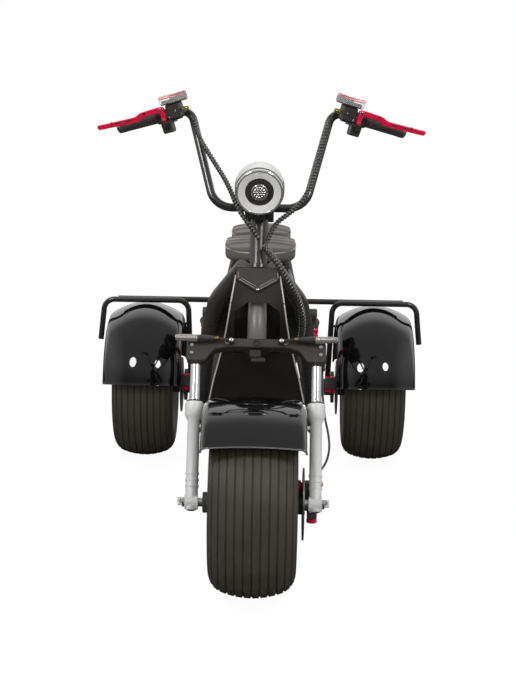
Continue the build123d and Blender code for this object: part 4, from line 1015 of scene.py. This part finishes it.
def make_clamp():
    """The lower clamp: a bevelled bar stepped down to its lobes, with screws, a boss and a plug below."""
    half = [
        (78, 396), (108, 388), (130.5, 359), (173.5, 359), (177.5, 365), (177.5, 408), (171.5, 414),
        (104, 420),
    ]
    outline = half + [(-x, z) for x, z in reversed(half)]
    boss = [(400, 20.2), (400, 30), (401.5, 31), (418.5, 31), (420, 30), (420, 20.2)]
    parts = [
        (plate(rounded(outline, 0.08, 2), -60, -16.5, 2.6), 0),
        (revolve(boss, steps=48, closed=True), 0),
        (soft_box((0, -20, 410), (46, 22, 9.8), 6), 0),
        (revolve([(0, 9), (2.4, 8.4), (2.4, 5.6), (0.4, 5.2), (0.4, 0)], (0, -60, 408), (0, -1, 0)), 2),
    ]
    for x in (-74, 74):
        parts.append((bolt((x, -60, 409), (0, -1, 0), 6.5, 4.5), 1))
    dome = [(0, 19), (-4, 17.6), (-7, 13), (-8.4, 0)]
    for x in (-LEG_SPREAD, LEG_SPREAD):
        parts.append((revolve(dome, (x, -LEG_AHEAD, 359), (0, 0, 1)), 0))
        parts.append((bolt((x + np.sign(x) * 10, -60, 380), (0, -1, 0), 4.6, 3.4), 1))
        parts.append((bolt((x + np.sign(x) * 10, -60, 400), (0, -1, 0), 4.6, 3.4), 1))
        parts.append((hex_nut((x, -LEG_AHEAD, 412), (0, 0, 1), 17.5, 10.0), 1))
        parts.append((revolve([(0, 15), (9, 15), (11, 13), (11, 0)], (x, -LEG_AHEAD, 413)), 0))
    parts.append((soft_box((170, -12, 359), (7, 8, 9), 5, 16, 32), 0))
    parts.append((soft_box((-3, -42, 385), (15, 8, 14), 5, 16, 32), 2))
    parts.append((soft_box((5, -40, 368), (19, 7, 7), 5, 16, 32), 2))
    finishes = ["frame_paint", "steel", "black_and_painted_shade"]
    return piece("clamp_bar", parts, finishes, "steering", ["lower_clamp"], STEERING)


def make_indicators():
    """Front indicators: a stalk with a brass joint, a black cone and a smoky lens with diamond knurls."""
    row = np.linspace(0, 1, 45)
    angle = np.linspace(0, 2 * pi, 48, endpoint=False)
    lens_radius = 8.2 - 2.6 * row**2.2
    knurl = 1.7 * np.abs(np.sin(row[:, None] * 22 + angle * 4) * np.sin(row[:, None] * 22 - angle * 4))
    path = np.stack([150 + 56 * row, np.full(45, -72.0), 415 + 1.5 * row], axis=1)
    cone = [(0, 0), (0, 5.8), (3, 6.6), (10, 6.8), (30, 8.4), (40, 9.0), (46, 9.0), (47, 8.2)]
    joint = [(0, 4.6), (0.6, 5.8), (3.4, 5.8), (4, 4.6), (5, 4.6), (5.6, 5.6), (8.0, 5.6), (8.6, 4.6)]
    stalk = [(64, -72, 411), (76, -72, 412), (88, -72, 414), (97, -72, 414.6)]
    parts = [
        (tube(path, lens_radius[:, None] + knurl, 48, (0, 0, 1)), 2),
        (revolve(cone, (104, -72, 414.6), (1, 0, 0.01), 40), 0),
        (revolve(joint, (96, -72, 414.6), (1, 0, 0), 32), 1),
        (tube(resampled(stalk, 3), 3.6, 16, (0, 0, 1)), 0),
        (revolve([(0, 8.4), (7, 8.4), (9, 7), (12, 6.6), (13, 4)], (64, -60, 411), (0, -1, 0)), 0),
        (hex_nut((64, -72.5, 411), (0, -1, 0), 6.0, 4.0), 3),
    ]
    finishes = ["black_plastic", "brass", "smoked_lens", "steel"]
    nodes = ["front_indicators"]
    return piece("indicator_lamps", parts, finishes, "steering", nodes, STEERING, BOTH, sharp=50)


# Brakes and axles


def caliper_parts(x_low, x_high, disc_x, half):
    """A caliper astride a disc: red halves, a dark bridge over the disc's edge, bolts and a bleeder."""
    back = [(101, -half + 14), (102, 0), (101, half - 14)]
    soft = rounded([(54, -half), (88, -half), *back, (88, half), (54, half)], 0.18, 2)
    middle = soft.mean(axis=0)
    dark = middle + (soft - middle) * (0.98, 0.62)
    parts = [
        (plate(soft, x_low, disc_x - 4.6, 2.0, "yz"), 0),
        (plate(dark, x_low - 0.8, disc_x - 4.2, 1.2, "yz"), 1),
        (plate(soft, disc_x + 4.6, x_high, 2.4, "yz"), 1),
        (soft_box(((x_low + x_high) / 2, 98, 0), ((x_high - x_low) / 2 - 1, 4.6, half * 0.72), 6, 16, 32), 1),
    ]
    for rise in (-half + 9, half - 9):
        parts.append((bolt((x_high, 78, rise), (1, 0, 0), 4.4, 3.4), 2))
    for rise in (-half * 0.3, half * 0.3):
        parts.append((bolt((x_high + 1, 74, rise), (1, 0, 0), 7.0, 2.0), 1))
    return parts


def make_calipers():
    """The front caliper behind the +X leg and the two rear ones ahead of the axle."""
    finishes = ["red_anodised", "dark_cast", "steel"]
    front = Place((0, 0, AXLE_HEIGHT), (1, 0, 0), (0, 0, 1))
    parts = caliper_parts(111, 168, 124, 38)
    bleeder = [(0, 3.6), (7, 3.2), (8, 2.4), (13, 2.4), (14, 0)]
    side_cap = [(0, 5.4), (1, 6.4), (5, 6.4), (6, 5.0), (6, 0)]
    foot_cap = [(0, 12.5), (1, 13.5), (9, 13.5), (10, 12), (10, 0)]
    parts.append((revolve(bleeder, (160, 66, 36), (0.6, 0, 0.8)), 0))
    parts.append((revolve(side_cap, (168, 60, 34), (1, 0, 0)), 0))
    parts.append((soft_box((148, 66, -44), (13, 11, 16), 5, 16, 32), 1))
    parts.append((revolve(foot_cap, (148, 66, -58), (0, 0, -1)), 0))
    piece("front_caliper_body", parts, finishes, "steering", ["front_caliper"], front)
    turn = radians(160)
    rear = Place((REAR_HALF_TRACK, WHEELBASE, AXLE_HEIGHT), (1, 0, 0), (0, -sin(turn), cos(turn)))
    parts = caliper_parts(-157, -104, -117, 26)
    piece("rear_caliper_bodies", parts, finishes, "chassis", ["rear_calipers"], rear, BOTH)


def make_fork_details():
    """Axle nuts and pinch bolts at the fork's feet, and gaiter rings at the collars."""
    foot = Place(STEERING.local((0, -LEG_AHEAD, 0)), (1, 0, 0), (0, sin(LEAN), cos(LEAN)))
    collar = [(255, 13.7), (255, 20), (256.6, 21), (258.6, 20), (259.6, 16), (259.6, 13.7)]
    parts = [
        (revolve([(0, 11), (0.8, 12), (5, 12), (6, 11), (6, 7), (3, 6), (3, 0)], (171, 0, 0), (1, 0, 0)), 1),
        (hex_nut((180, 11, 2), (0, 1, 0), 6.2, 4.5), 1),
        (bolt((180, -10, 2), (0, -1, 0), 5.0, 3.6), 1),
        (revolve(collar, (LEG_SPREAD, 0, 0)), 0),
        (revolve([(-20, 0), (-21.4, 6), (-21.4, 9), (-20, 10)], (LEG_SPREAD, 0, 0)), 1),
        (bolt((138, 0, 193), (1, 0, 0), 6.0, 1.0), 2),
    ]
    finishes = ["black_plastic", "steel", "silver_cast"]
    return piece("fork_fittings", parts, finishes, "steering", place=foot, sides=BOTH)


def make_hub_rings():
    """A black bearing cover on the front wheel, and brass collars beside the rear discs."""
    ring = [(-126, 12), (-126, 24), (-124.5, 26), (-114, 26), (-112, 24), (-112, 12)]
    skin = revolve(ring, (0, 0, AXLE_HEIGHT), (1, 0, 0), 64, closed=True)
    piece("front_hub_cover", [(skin, 0)], ["dark_cast"], "front_wheel")
    for name, body, side in (("left", "left_wheel", 1), ("right", "right_wheel", -1)):
        collar = [(240.5, 12.7), (240.5, 18), (241.5, 19.5), (249.5, 19.5), (250.5, 18), (250.5, 12.7)]
        skin = revolve(collar, (0, WHEELBASE, AXLE_HEIGHT), (1, 0, 0), 48, closed=True)
        piece(name + "_hub_collar", [(skin, 0)], ["brass"], body, sides=(side,))


def make_discs():
    """Rows of screws that hold the brake discs to their hubs."""
    for name, body, x, y, side in (
        ("front", "front_wheel", 126, 0, 1), ("left", "left_wheel", 253, WHEELBASE, -1),
        ("right", "right_wheel", -253, WHEELBASE, 1),
    ):
        parts = []
        for turn in np.linspace(0, 2 * pi, 5, endpoint=False):
            place = (x, y + 27 * cos(turn), AXLE_HEIGHT + 27 * sin(turn))
            parts.append((bolt(place, (side, 0, 0), 4.0, 2.6, 20), 0))
        piece(name + "_disc_screws", parts, ["steel"], body)


# Shock absorbers


def make_shocks():
    """Coil-over shock absorbers: a red spring wound round a dark damper between two eyes."""
    foot, head = np.array([165, 1272, 278.0]), np.array([165, 1090, 508.0])
    length = np.linalg.norm(head - foot)
    place = Place(foot, (1, 0, 0), head - foot)
    turns, wire = 8.5, 4.0
    share = np.linspace(0, 1, 420)
    angle = share * turns * 2 * pi
    coil = np.stack([17.8 * np.cos(angle), 17.8 * np.sin(angle), 50 + share * (length - 100)], axis=1)
    damper = [
        (14, 0), (14, 12), (16, 13), (38, 13), (40, 24), (46, 24), (47, 12.5), (150, 12.5), (152, 8),
        (length - 50, 8), (length - 48, 14), (length - 46, 23), (length - 41, 24), (length - 39, 12),
        (length - 16, 10), (length - 14, 0),
    ]
    parts = [(tube(coil, wire, 12, (0, 0, 1)), 0), (revolve(damper, steps=40), 1)]
    eye = [(-14, 8), (-14, 15), (-12.5, 16), (12.5, 16), (14, 15), (14, 8)]
    pin = [(-14.6, 0), (-14.6, 8), (14.6, 8), (14.6, 0)]
    for height in (0, length):
        parts.append((revolve(eye, (0, 0, height), (1, 0, 0), 40), 1))
        parts.append((revolve(pin, (0, 0, height), (1, 0, 0), 32), 2))
    parts.append((soft_box((0, 16, 34), (9, 12, 24), 5, 20, 40), 2))
    finishes = ["red_anodised", "dark_cast", "steel"]
    nodes = ["shock_absorbers"]
    return piece("coil_shocks", parts, finishes, "chassis", nodes, place, BOTH, sharp=50)


# Apron, shield and floor

# Points of the apron's front line from top to floor: y, z and the half width there
APRON_LINE = (
    (283, 775, 55), (239, 688, 70), (243, 640, 77), (263, 585, 86), (290, 530, 99), (322, 466, 115),
    (362, 400, 128), (412, 340, 136), (480, 305, 138), (558, 291, 138),
)


def make_apron_piping():
    """Light piping along the apron's two front edges."""
    line = [(half - 1.0, y - 0.4, z) for y, z, half in ((273, 755, 58.5), *APRON_LINE[1:8])]
    path = averaged(resampled(line, 4), 9)
    parts = [(tube(path, 1.9, 12), 0)]
    return piece("apron_piping", parts, ["piping"], "chassis", sides=BOTH)


def stitches(start, end, pitch, length, radius=0.7):
    """Short raised threads in a row from start to end."""
    start, end = np.asarray(start, float), np.asarray(end, float)
    reach = np.linalg.norm(end - start)
    way = (end - start) / reach
    made = []
    for place in np.arange(pitch / 2, reach - length, pitch):
        middle = start + way * (place + length / 2)
        path = np.array([middle - way * length / 2, middle + (0, -0.5, 0), middle + way * length / 2])
        made.append(tube(path, radius, 8, (0, 1, 0)))
    return made


def make_shield():
    """The leather plate on the apron's top, stitched along its point, with a stud at the tip."""
    half = [(48, 615), (56, 607), (56, 583)]
    outline = half + [(0, 549)] + [(-x, z) for x, z in reversed(half)]
    parts = [
        (plate(rounded(outline, 0.09, 2), -43.4, -38.4, 1.6), 0),
        (revolve([(0, 4.2), (1.4, 3.8), (2.4, 2.4), (2.8, 0)], (0, -43.4, 556), (0, -1, 0)), 2),
    ]
    for side in (1, -1):
        lower = stitches((side * 50, -43.9, 584), (side * 6, -43.9, 558), 5.4, 3.4)
        second = stitches((side * 44, -43.9, 587), (side * 6, -43.9, 565), 5.4, 3.4)
        edge = stitches((side * 51, -43.9, 605), (side * 51, -43.9, 587), 5.4, 3.4)
        parts += [(skin, 1) for skin in lower + second + edge]
    finishes = ["dark_leather", "piping", "satin_chrome"]
    return piece("shield_leather", parts, finishes, "chassis", ["shield_plate"], STEERING)


def make_neck():
    """A sleeve round the stem in a lighter paint that is painted light, a near-black panel that closes the
    apron's arch behind it as painted shade, and the rails' gussets.
    """
    sleeve = [(421, 20.3), (421, 24), (422.5, 25), (529, 25), (530.5, 24), (530.5, 20.3)]
    parts = [(revolve(sleeve, steps=64, closed=True), 0)]
    # The sleeve's lighter paint is painted light
    piece("stem_sleeve", parts, ["stem_painted_light"], "steering", place=STEERING)
    # The panel is near-black: painted shade where the arch behind the stem lies in shadow
    panel = [(-82, 606), (82, 606), (70, 688), (-70, 688)]
    piece("neck_panel", [(plate(panel, 313, 317, 0.8), 0)], ["black_and_painted_shade"], "chassis")
    gusset = [(60, 524), (128, 536), (112, 648), (94, 692), (60, 692)]
    parts = [(plate(gusset, 445, 449, 1.0), 0)]
    piece("rail_gussets", parts, ["black_and_painted_shade"], "chassis", sides=BOTH)


def make_mat():
    """The ribbed rubber mat on the footboard."""
    corners = [(-166, 660), (166, 660), (166, 880), (-166, 880)]
    parts = [(plate(rounded(corners, 0.07, 2), 291.3, 293.6, 0.8, "xy"), 0)]
    for x in np.arange(-154, 155, 11):
        bar = [(x - 3, 668), (x + 3, 668), (x + 3, 872), (x - 3, 872)]
        parts.append((plate(rounded(bar, 0.2, 1), 293.0, 295.2, 0.9, "xy"), 0))
    return piece("ribbed_mat", parts, ["mat_rubber"], "chassis", ["deck_mat"])


def make_tail_light():
    """The tail light: a dark housing with a bracket, a red lens with moulded ribs and two studs."""
    parts = [
        (soft_box((0, 1235, 644), (58, 9, 20), 7), 1),
        (soft_box((0, 1245, 644), (54, 5, 17), 7), 0),
        (plate([(-20, 1206), (20, 1206), (20, 1228), (-20, 1228)], 640, 681, 1.2, "xy"), 1),
    ]
    for x in np.arange(-44, 45, 8):
        parts.append((soft_box((x, 1248.6, 644), (1.6, 1.8, 14), 4, 12, 16), 0))
    return piece("tail_lamp", parts, ["red_lens", "black_plastic"], "chassis", ["tail_light"])


# Stage


# The floor: half its size in metres, its glow, the share of the glow that the camera sees, and its colours
FLOOR_HALF = 40.0
FLOOR_GLOW = 1.03
FLOOR_GLOW_SHARE = 0.93
FLOOR_COLOUR = (0.9, 0.9, 0.9, 1)
FLOOR_REFLECTED = (0.04, 0.04, 0.04, 1)


def make_floor():
    """A pale floor that keeps a soft shadow, shows white to the camera and dark in reflections."""
    material, tree, shader = plain_material("pale_floor", {"Roughness": 0.9})
    rays = tree.nodes.new("ShaderNodeLightPath").outputs
    colour = add_node(
        tree,
        "ShaderNodeMix",
        {0: rays["Is Glossy Ray"], 6: FLOOR_COLOUR, 7: FLOOR_REFLECTED},
        data_type="RGBA",
    ).outputs[2]
    tree.links.new(colour, shader.inputs["Base Color"])
    share = add_node(
        tree, "ShaderNodeMath", {0: rays["Is Camera Ray"], 1: FLOOR_GLOW_SHARE}, operation="MULTIPLY"
    ).outputs[0]
    glow = add_node(tree, "ShaderNodeEmission", {"Color": (1, 1, 1, 1), "Strength": FLOOR_GLOW}).outputs[0]
    mixed = add_node(tree, "ShaderNodeMixShader", {0: share, 1: shader.outputs[0], 2: glow}).outputs[0]
    tree.links.new(mixed, tree.nodes["Material Output"].inputs["Surface"])
    corners = [(x * FLOOR_HALF, y * FLOOR_HALF, 0) for x, y in ((-1, -1), (1, -1), (1, 1), (-1, 1))]
    mesh = bpy.data.meshes.new("floor")
    mesh.from_pydata(corners, [], [(0, 1, 2, 3)])
    mesh.materials.append(material)
    floor = bpy.data.objects.new("floor", mesh)
    bpy.context.scene.collection.objects.link(floor)


# Each share of the surround's light on the object: axis, where it starts, where it is full, strength
SURROUND = ((2, 0.10, 0.60, 0.45), (1, 0.35, 0.65, 0.75), (0, 0.55, 0.90, 0.60))
SURROUND_BASE = 0.06


def make_world():
    """A white surround to the camera; the object is lit from above, from behind and from both sides."""
    world = bpy.data.worlds.new("studio")
    world.use_nodes = True
    tree = world.node_tree
    tree.nodes.clear()
    way = add_node(tree, "ShaderNodeTexCoord").outputs["Generated"]
    split = add_node(tree, "ShaderNodeSeparateXYZ", {0: way}).outputs
    both = add_node(tree, "ShaderNodeMath", {0: split[0]}, operation="ABSOLUTE").outputs[0]
    parts = (both, split[1], split[2])
    level = SURROUND_BASE
    for axis, start, full, strength in SURROUND:
        share = add_node(
            tree,
            "ShaderNodeMapRange",
            {"Value": parts[axis], "From Min": start, "From Max": full, "To Max": strength},
            interpolation_type="SMOOTHSTEP",
        ).outputs["Result"]
        level = add_node(tree, "ShaderNodeMath", {0: share, 1: level}, operation="ADD").outputs[0]
    rays = tree.nodes.new("ShaderNodeLightPath").outputs
    seen = add_node(
        tree,
        "ShaderNodeMath",
        {0: rays["Is Camera Ray"], 1: rays["Is Transmission Ray"]},
        operation="MAXIMUM",
    ).outputs[0]
    strength = add_node(tree, "ShaderNodeMix", {0: seen, 2: level, 3: 1.0}, data_type="FLOAT").outputs[0]
    glow = add_node(tree, "ShaderNodeBackground", {"Color": (1, 1, 1, 1), "Strength": strength}).outputs[0]
    add_node(tree, "ShaderNodeOutputWorld", {"Surface": glow})
    bpy.context.scene.world = world


# Each lamp: name, shape, place, where it points, size, watts, whether it shows in reflections
LAMPS = (
    ("left_spot", "DISK", (-1.75, -2.3, 2.9), (0, 0, 0.5), 0.95, 44.0, True),
    ("right_spot", "DISK", (1.75, -2.3, 2.9), (0, 0, 0.5), 0.80, 34.0, True),
    ("top_softbox", "SQUARE", (0.0, -0.2, 3.4), (0, 0, 0.4), 2.2, 36.0, False),
    ("front_fill", "SQUARE", (0.2, -4.6, 2.0), (0, 0, 0.6), 1.6, 46.0, False),
)


def make_lamps():
    """Soft lamps round the object."""
    for name, shape, place, target, size, watts, shows in LAMPS:
        data = bpy.data.lights.new(name, "AREA")
        data.shape, data.size, data.energy = shape, size, watts
        lamp = bpy.data.objects.new(name, data)
        lamp.location = place
        lamp.rotation_euler = (Vector(target) - Vector(place)).to_track_quat("-Z", "Y").to_euler()
        lamp.visible_glossy = shows
        bpy.context.scene.collection.objects.link(lamp)


def make_camera(view):
    """The photograph's camera: place, heading, pitch and roll in the row frame."""
    data = bpy.data.cameras.new("photo_camera")
    data.sensor_width = 36.0
    data.lens = view.focal_pixels / view.frame_height_pixels * data.sensor_width
    data.clip_start, data.clip_end = 0.05, 200
    camera = bpy.data.objects.new("photo_camera", data)
    camera.rotation_mode = "QUATERNION"
    camera.location = view.place
    turn = Euler((pi / 2 - view.pitch, 0, view.heading), "XYZ").to_quaternion()
    roll = Euler((0, 0, view.roll), "XYZ").to_quaternion()
    camera.rotation_quaternion = turn @ roll
    bpy.context.scene.collection.objects.link(camera)
    bpy.context.scene.camera = camera


# Settings


class ScooterSizes(bpy.types.PropertyGroup):
    """Sizes that a user of the scene would change."""

    groove_pitch: bpy.props.FloatProperty(
        name="Groove Pitch", description="Distance between tyre grooves", default=0.0207, unit="LENGTH"
    )
    groove_width: bpy.props.FloatProperty(
        name="Groove Width", description="Width of a tyre groove", default=0.0032, unit="LENGTH"
    )
    groove_depth: bpy.props.FloatProperty(
        name="Groove Depth", description="Depth of a tyre groove", default=0.0036, unit="LENGTH"
    )


def colour_setting(label, description, finish):
    """A colour setting whose default is the finish's own colour."""
    return bpy.props.FloatVectorProperty(
        name=label, description=description, default=FINISHES[finish][0], subtype="COLOR", min=0, max=1
    )


class ScooterColours(bpy.types.PropertyGroup):
    """Colours that a user of the scene would change, each under its finish's name."""

    gloss_paint: colour_setting("Gloss Paint", "Paint of the fenders", "gloss_paint")
    frame_paint: colour_setting("Frame Paint", "Paint of the frame and the clamp", "frame_paint")
    bar_paint: colour_setting("Bar Paint", "Paint of the handlebar and the fender hoops", "bar_paint")
    tyre_rubber: colour_setting("Tyre Rubber", "Rubber of the three tyres", "tyre_rubber")
    leather: colour_setting("Leather", "Leather of the saddle and the passenger pad", "leather")
    red_anodised: colour_setting("Anodised Red", "Levers, calipers and springs", "red_anodised")


class ScooterCamera(bpy.types.PropertyGroup):
    """The camera that the photograph was taken with."""

    focal_pixels: bpy.props.FloatProperty(
        name="Focal Length", description="Focal length in pixels of the photograph", default=1556.0
    )
    frame_height_pixels: bpy.props.FloatProperty(
        name="Frame Height", description="Height of the photograph in pixels", default=688.0
    )
    place: bpy.props.FloatVectorProperty(
        name="Place", description="Where the camera stands", default=(0.0371, -4.3798, 1.3915), subtype="XYZ"
    )
    heading: bpy.props.FloatProperty(
        name="Heading", description="Turn about the vertical", default=radians(0.491), subtype="ANGLE"
    )
    pitch: bpy.props.FloatProperty(
        name="Pitch", description="Tilt below the horizon", default=radians(11.466), subtype="ANGLE"
    )
    roll: bpy.props.FloatProperty(
        name="Roll", description="Turn about the view direction", default=radians(0.967), subtype="ANGLE"
    )


# Operators


class SCOOTER_OT_camera(bpy.types.Operator):
    """Set up the photograph's camera"""

    bl_idname = "scooter.camera"
    bl_label = "Camera"

    def execute(self, context):
        make_camera(context.scene.scooter_camera)
        return {"FINISHED"}


class SCOOTER_OT_materials(bpy.types.Operator):
    """Make every finish and the smoothing of the CAD nodes"""

    bl_idname = "scooter.materials"
    bl_label = "Materials"

    def execute(self, context):
        make_materials(context.scene.scooter_colours)
        smoothing_nodes(SMOOTH_BELOW)
        return {"FINISHED"}


class SCOOTER_OT_cords(bpy.types.Operator):
    """Lay the looms and the brake hose along their routes"""

    bl_idname = "scooter.cords"
    bl_label = "Looms and Hose"

    def execute(self, context):
        for node, route, radius, length, pitch in STEERED_CORDS:
            make_cord(node, route, radius, "steering", pitch)
        loom = make_cord("wiring_loom", MAIN_LOOM, 0.0085, None, LOOM_PITCH)
        start, end = STANDING([MAIN_LOOM[5], MAIN_LOOM[0]])
        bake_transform(loom)
        return {"FINISHED"}


class SCOOTER_OT_frame(bpy.types.Operator):
    """Give the CAD nodes their finishes"""

    bl_idname = "scooter.frame"
    bl_label = "Frame and Fittings"

    def execute(self, context):
        for finish, nodes in NODE_FINISHES.items():
            for node in nodes:
                dress(node, finish)
        return {"FINISHED"}


class SCOOTER_OT_tyres(bpy.types.Operator):
    """Build the three grooved tyres and the details of their wheels"""

    bl_idname = "scooter.tyres"
    bl_label = "Tyres"

    def execute(self, context):
        for node, body, centre, width in TYRES:
            make_tyre(node, body, centre, width, context.scene.scooter_sizes)
        make_hub_rings()
        make_discs()
        return {"FINISHED"}


class SCOOTER_OT_fenders(bpy.types.Operator):
    """Build the front and rear fenders"""

    bl_idname = "scooter.fenders"
    bl_label = "Fenders"

    def execute(self, context):
        make_front_fender()
        make_rear_fenders()
        return {"FINISHED"}


class SCOOTER_OT_seats(bpy.types.Operator):
    """Build the saddle and the passenger pad"""

    bl_idname = "scooter.seats"
    bl_label = "Seats"

    def execute(self, context):
        for seat in SEATS:
            make_seat(*seat)
        return {"FINISHED"}


class SCOOTER_OT_headlight(bpy.types.Operator):
    """Build the headlight"""

    bl_idname = "scooter.headlight"
    bl_label = "Headlight"

    def execute(self, context):
        make_headlight()
        return {"FINISHED"}


class SCOOTER_OT_controls(bpy.types.Operator):
    """Build the grips, levers, reservoirs, master cylinders and switches"""

    bl_idname = "scooter.controls"
    bl_label = "Hand Controls"

    def execute(self, context):
        for make in (make_grips, make_levers, make_reservoirs, make_cylinders, make_switches):
            make()
        return {"FINISHED"}


class SCOOTER_OT_fork(bpy.types.Operator):
    """Build the lower clamp, the front indicators and the fork's fittings"""

    bl_idname = "scooter.fork"
    bl_label = "Fork and Clamp"

    def execute(self, context):
        for make in (make_clamp, make_indicators, make_fork_details):
            make()
        return {"FINISHED"}


class SCOOTER_OT_running_gear(bpy.types.Operator):
    """Build the calipers and the coil-over shock absorbers"""

    bl_idname = "scooter.running_gear"
    bl_label = "Brakes and Shocks"

    def execute(self, context):
        make_calipers()
        make_shocks()
        return {"FINISHED"}


class SCOOTER_OT_trim(bpy.types.Operator):
    """Build the apron's piping, the shield, the mat and the tail light"""

    bl_idname = "scooter.trim"
    bl_label = "Trim"

    def execute(self, context):
        for make in (make_apron_piping, make_shield, make_neck, make_mat, make_tail_light):
            make()
        return {"FINISHED"}


class SCOOTER_OT_stage(bpy.types.Operator):
    """Set up the floor, the surround and the lamps"""

    bl_idname = "scooter.stage"
    bl_label = "Stage"

    def execute(self, context):
        make_floor()
        make_world()
        make_lamps()
        context.scene.view_settings.view_transform = "Standard"
        return {"FINISHED"}


OPERATORS = (
    SCOOTER_OT_camera, SCOOTER_OT_materials, SCOOTER_OT_cords, SCOOTER_OT_frame, SCOOTER_OT_tyres,
    SCOOTER_OT_fenders, SCOOTER_OT_seats, SCOOTER_OT_headlight, SCOOTER_OT_controls, SCOOTER_OT_fork,
    SCOOTER_OT_running_gear, SCOOTER_OT_trim, SCOOTER_OT_stage,
)


class SCOOTER_PT_panel(bpy.types.Panel):
    """Lists the scooter's operators and settings"""

    bl_idname = "SCOOTER_PT_panel"
    bl_label = "Scooter"
    bl_space_type = "VIEW_3D"
    bl_region_type = "UI"
    bl_category = "Scooter"

    def draw(self, context):
        for operator in OPERATORS:
            self.layout.operator(operator.bl_idname)
        scene = context.scene
        for group in (scene.scooter_sizes, scene.scooter_colours, scene.scooter_camera):
            for label in group.__annotations__:
                self.layout.prop(group, label)


CLASSES = (ScooterSizes, ScooterColours, ScooterCamera, *OPERATORS, SCOOTER_PT_panel)


def register():
    """Register the classes and hang their settings on the scene."""
    for cls in CLASSES:
        bpy.utils.register_class(cls)
    bpy.types.Scene.scooter_sizes = bpy.props.PointerProperty(type=ScooterSizes)
    bpy.types.Scene.scooter_colours = bpy.props.PointerProperty(type=ScooterColours)
    bpy.types.Scene.scooter_camera = bpy.props.PointerProperty(type=ScooterCamera)


def unregister():
    """Take the settings and classes away again."""
    del bpy.types.Scene.scooter_sizes
    del bpy.types.Scene.scooter_colours
    del bpy.types.Scene.scooter_camera
    for cls in reversed(CLASSES):
        bpy.utils.unregister_class(cls)


def main():
    """Build every piece in order."""
    register()
    for operator in OPERATORS:
        group, name = operator.bl_idname.split(".")
        getattr(getattr(bpy.ops, group), name)()


if __name__ == "__main__":
    main()
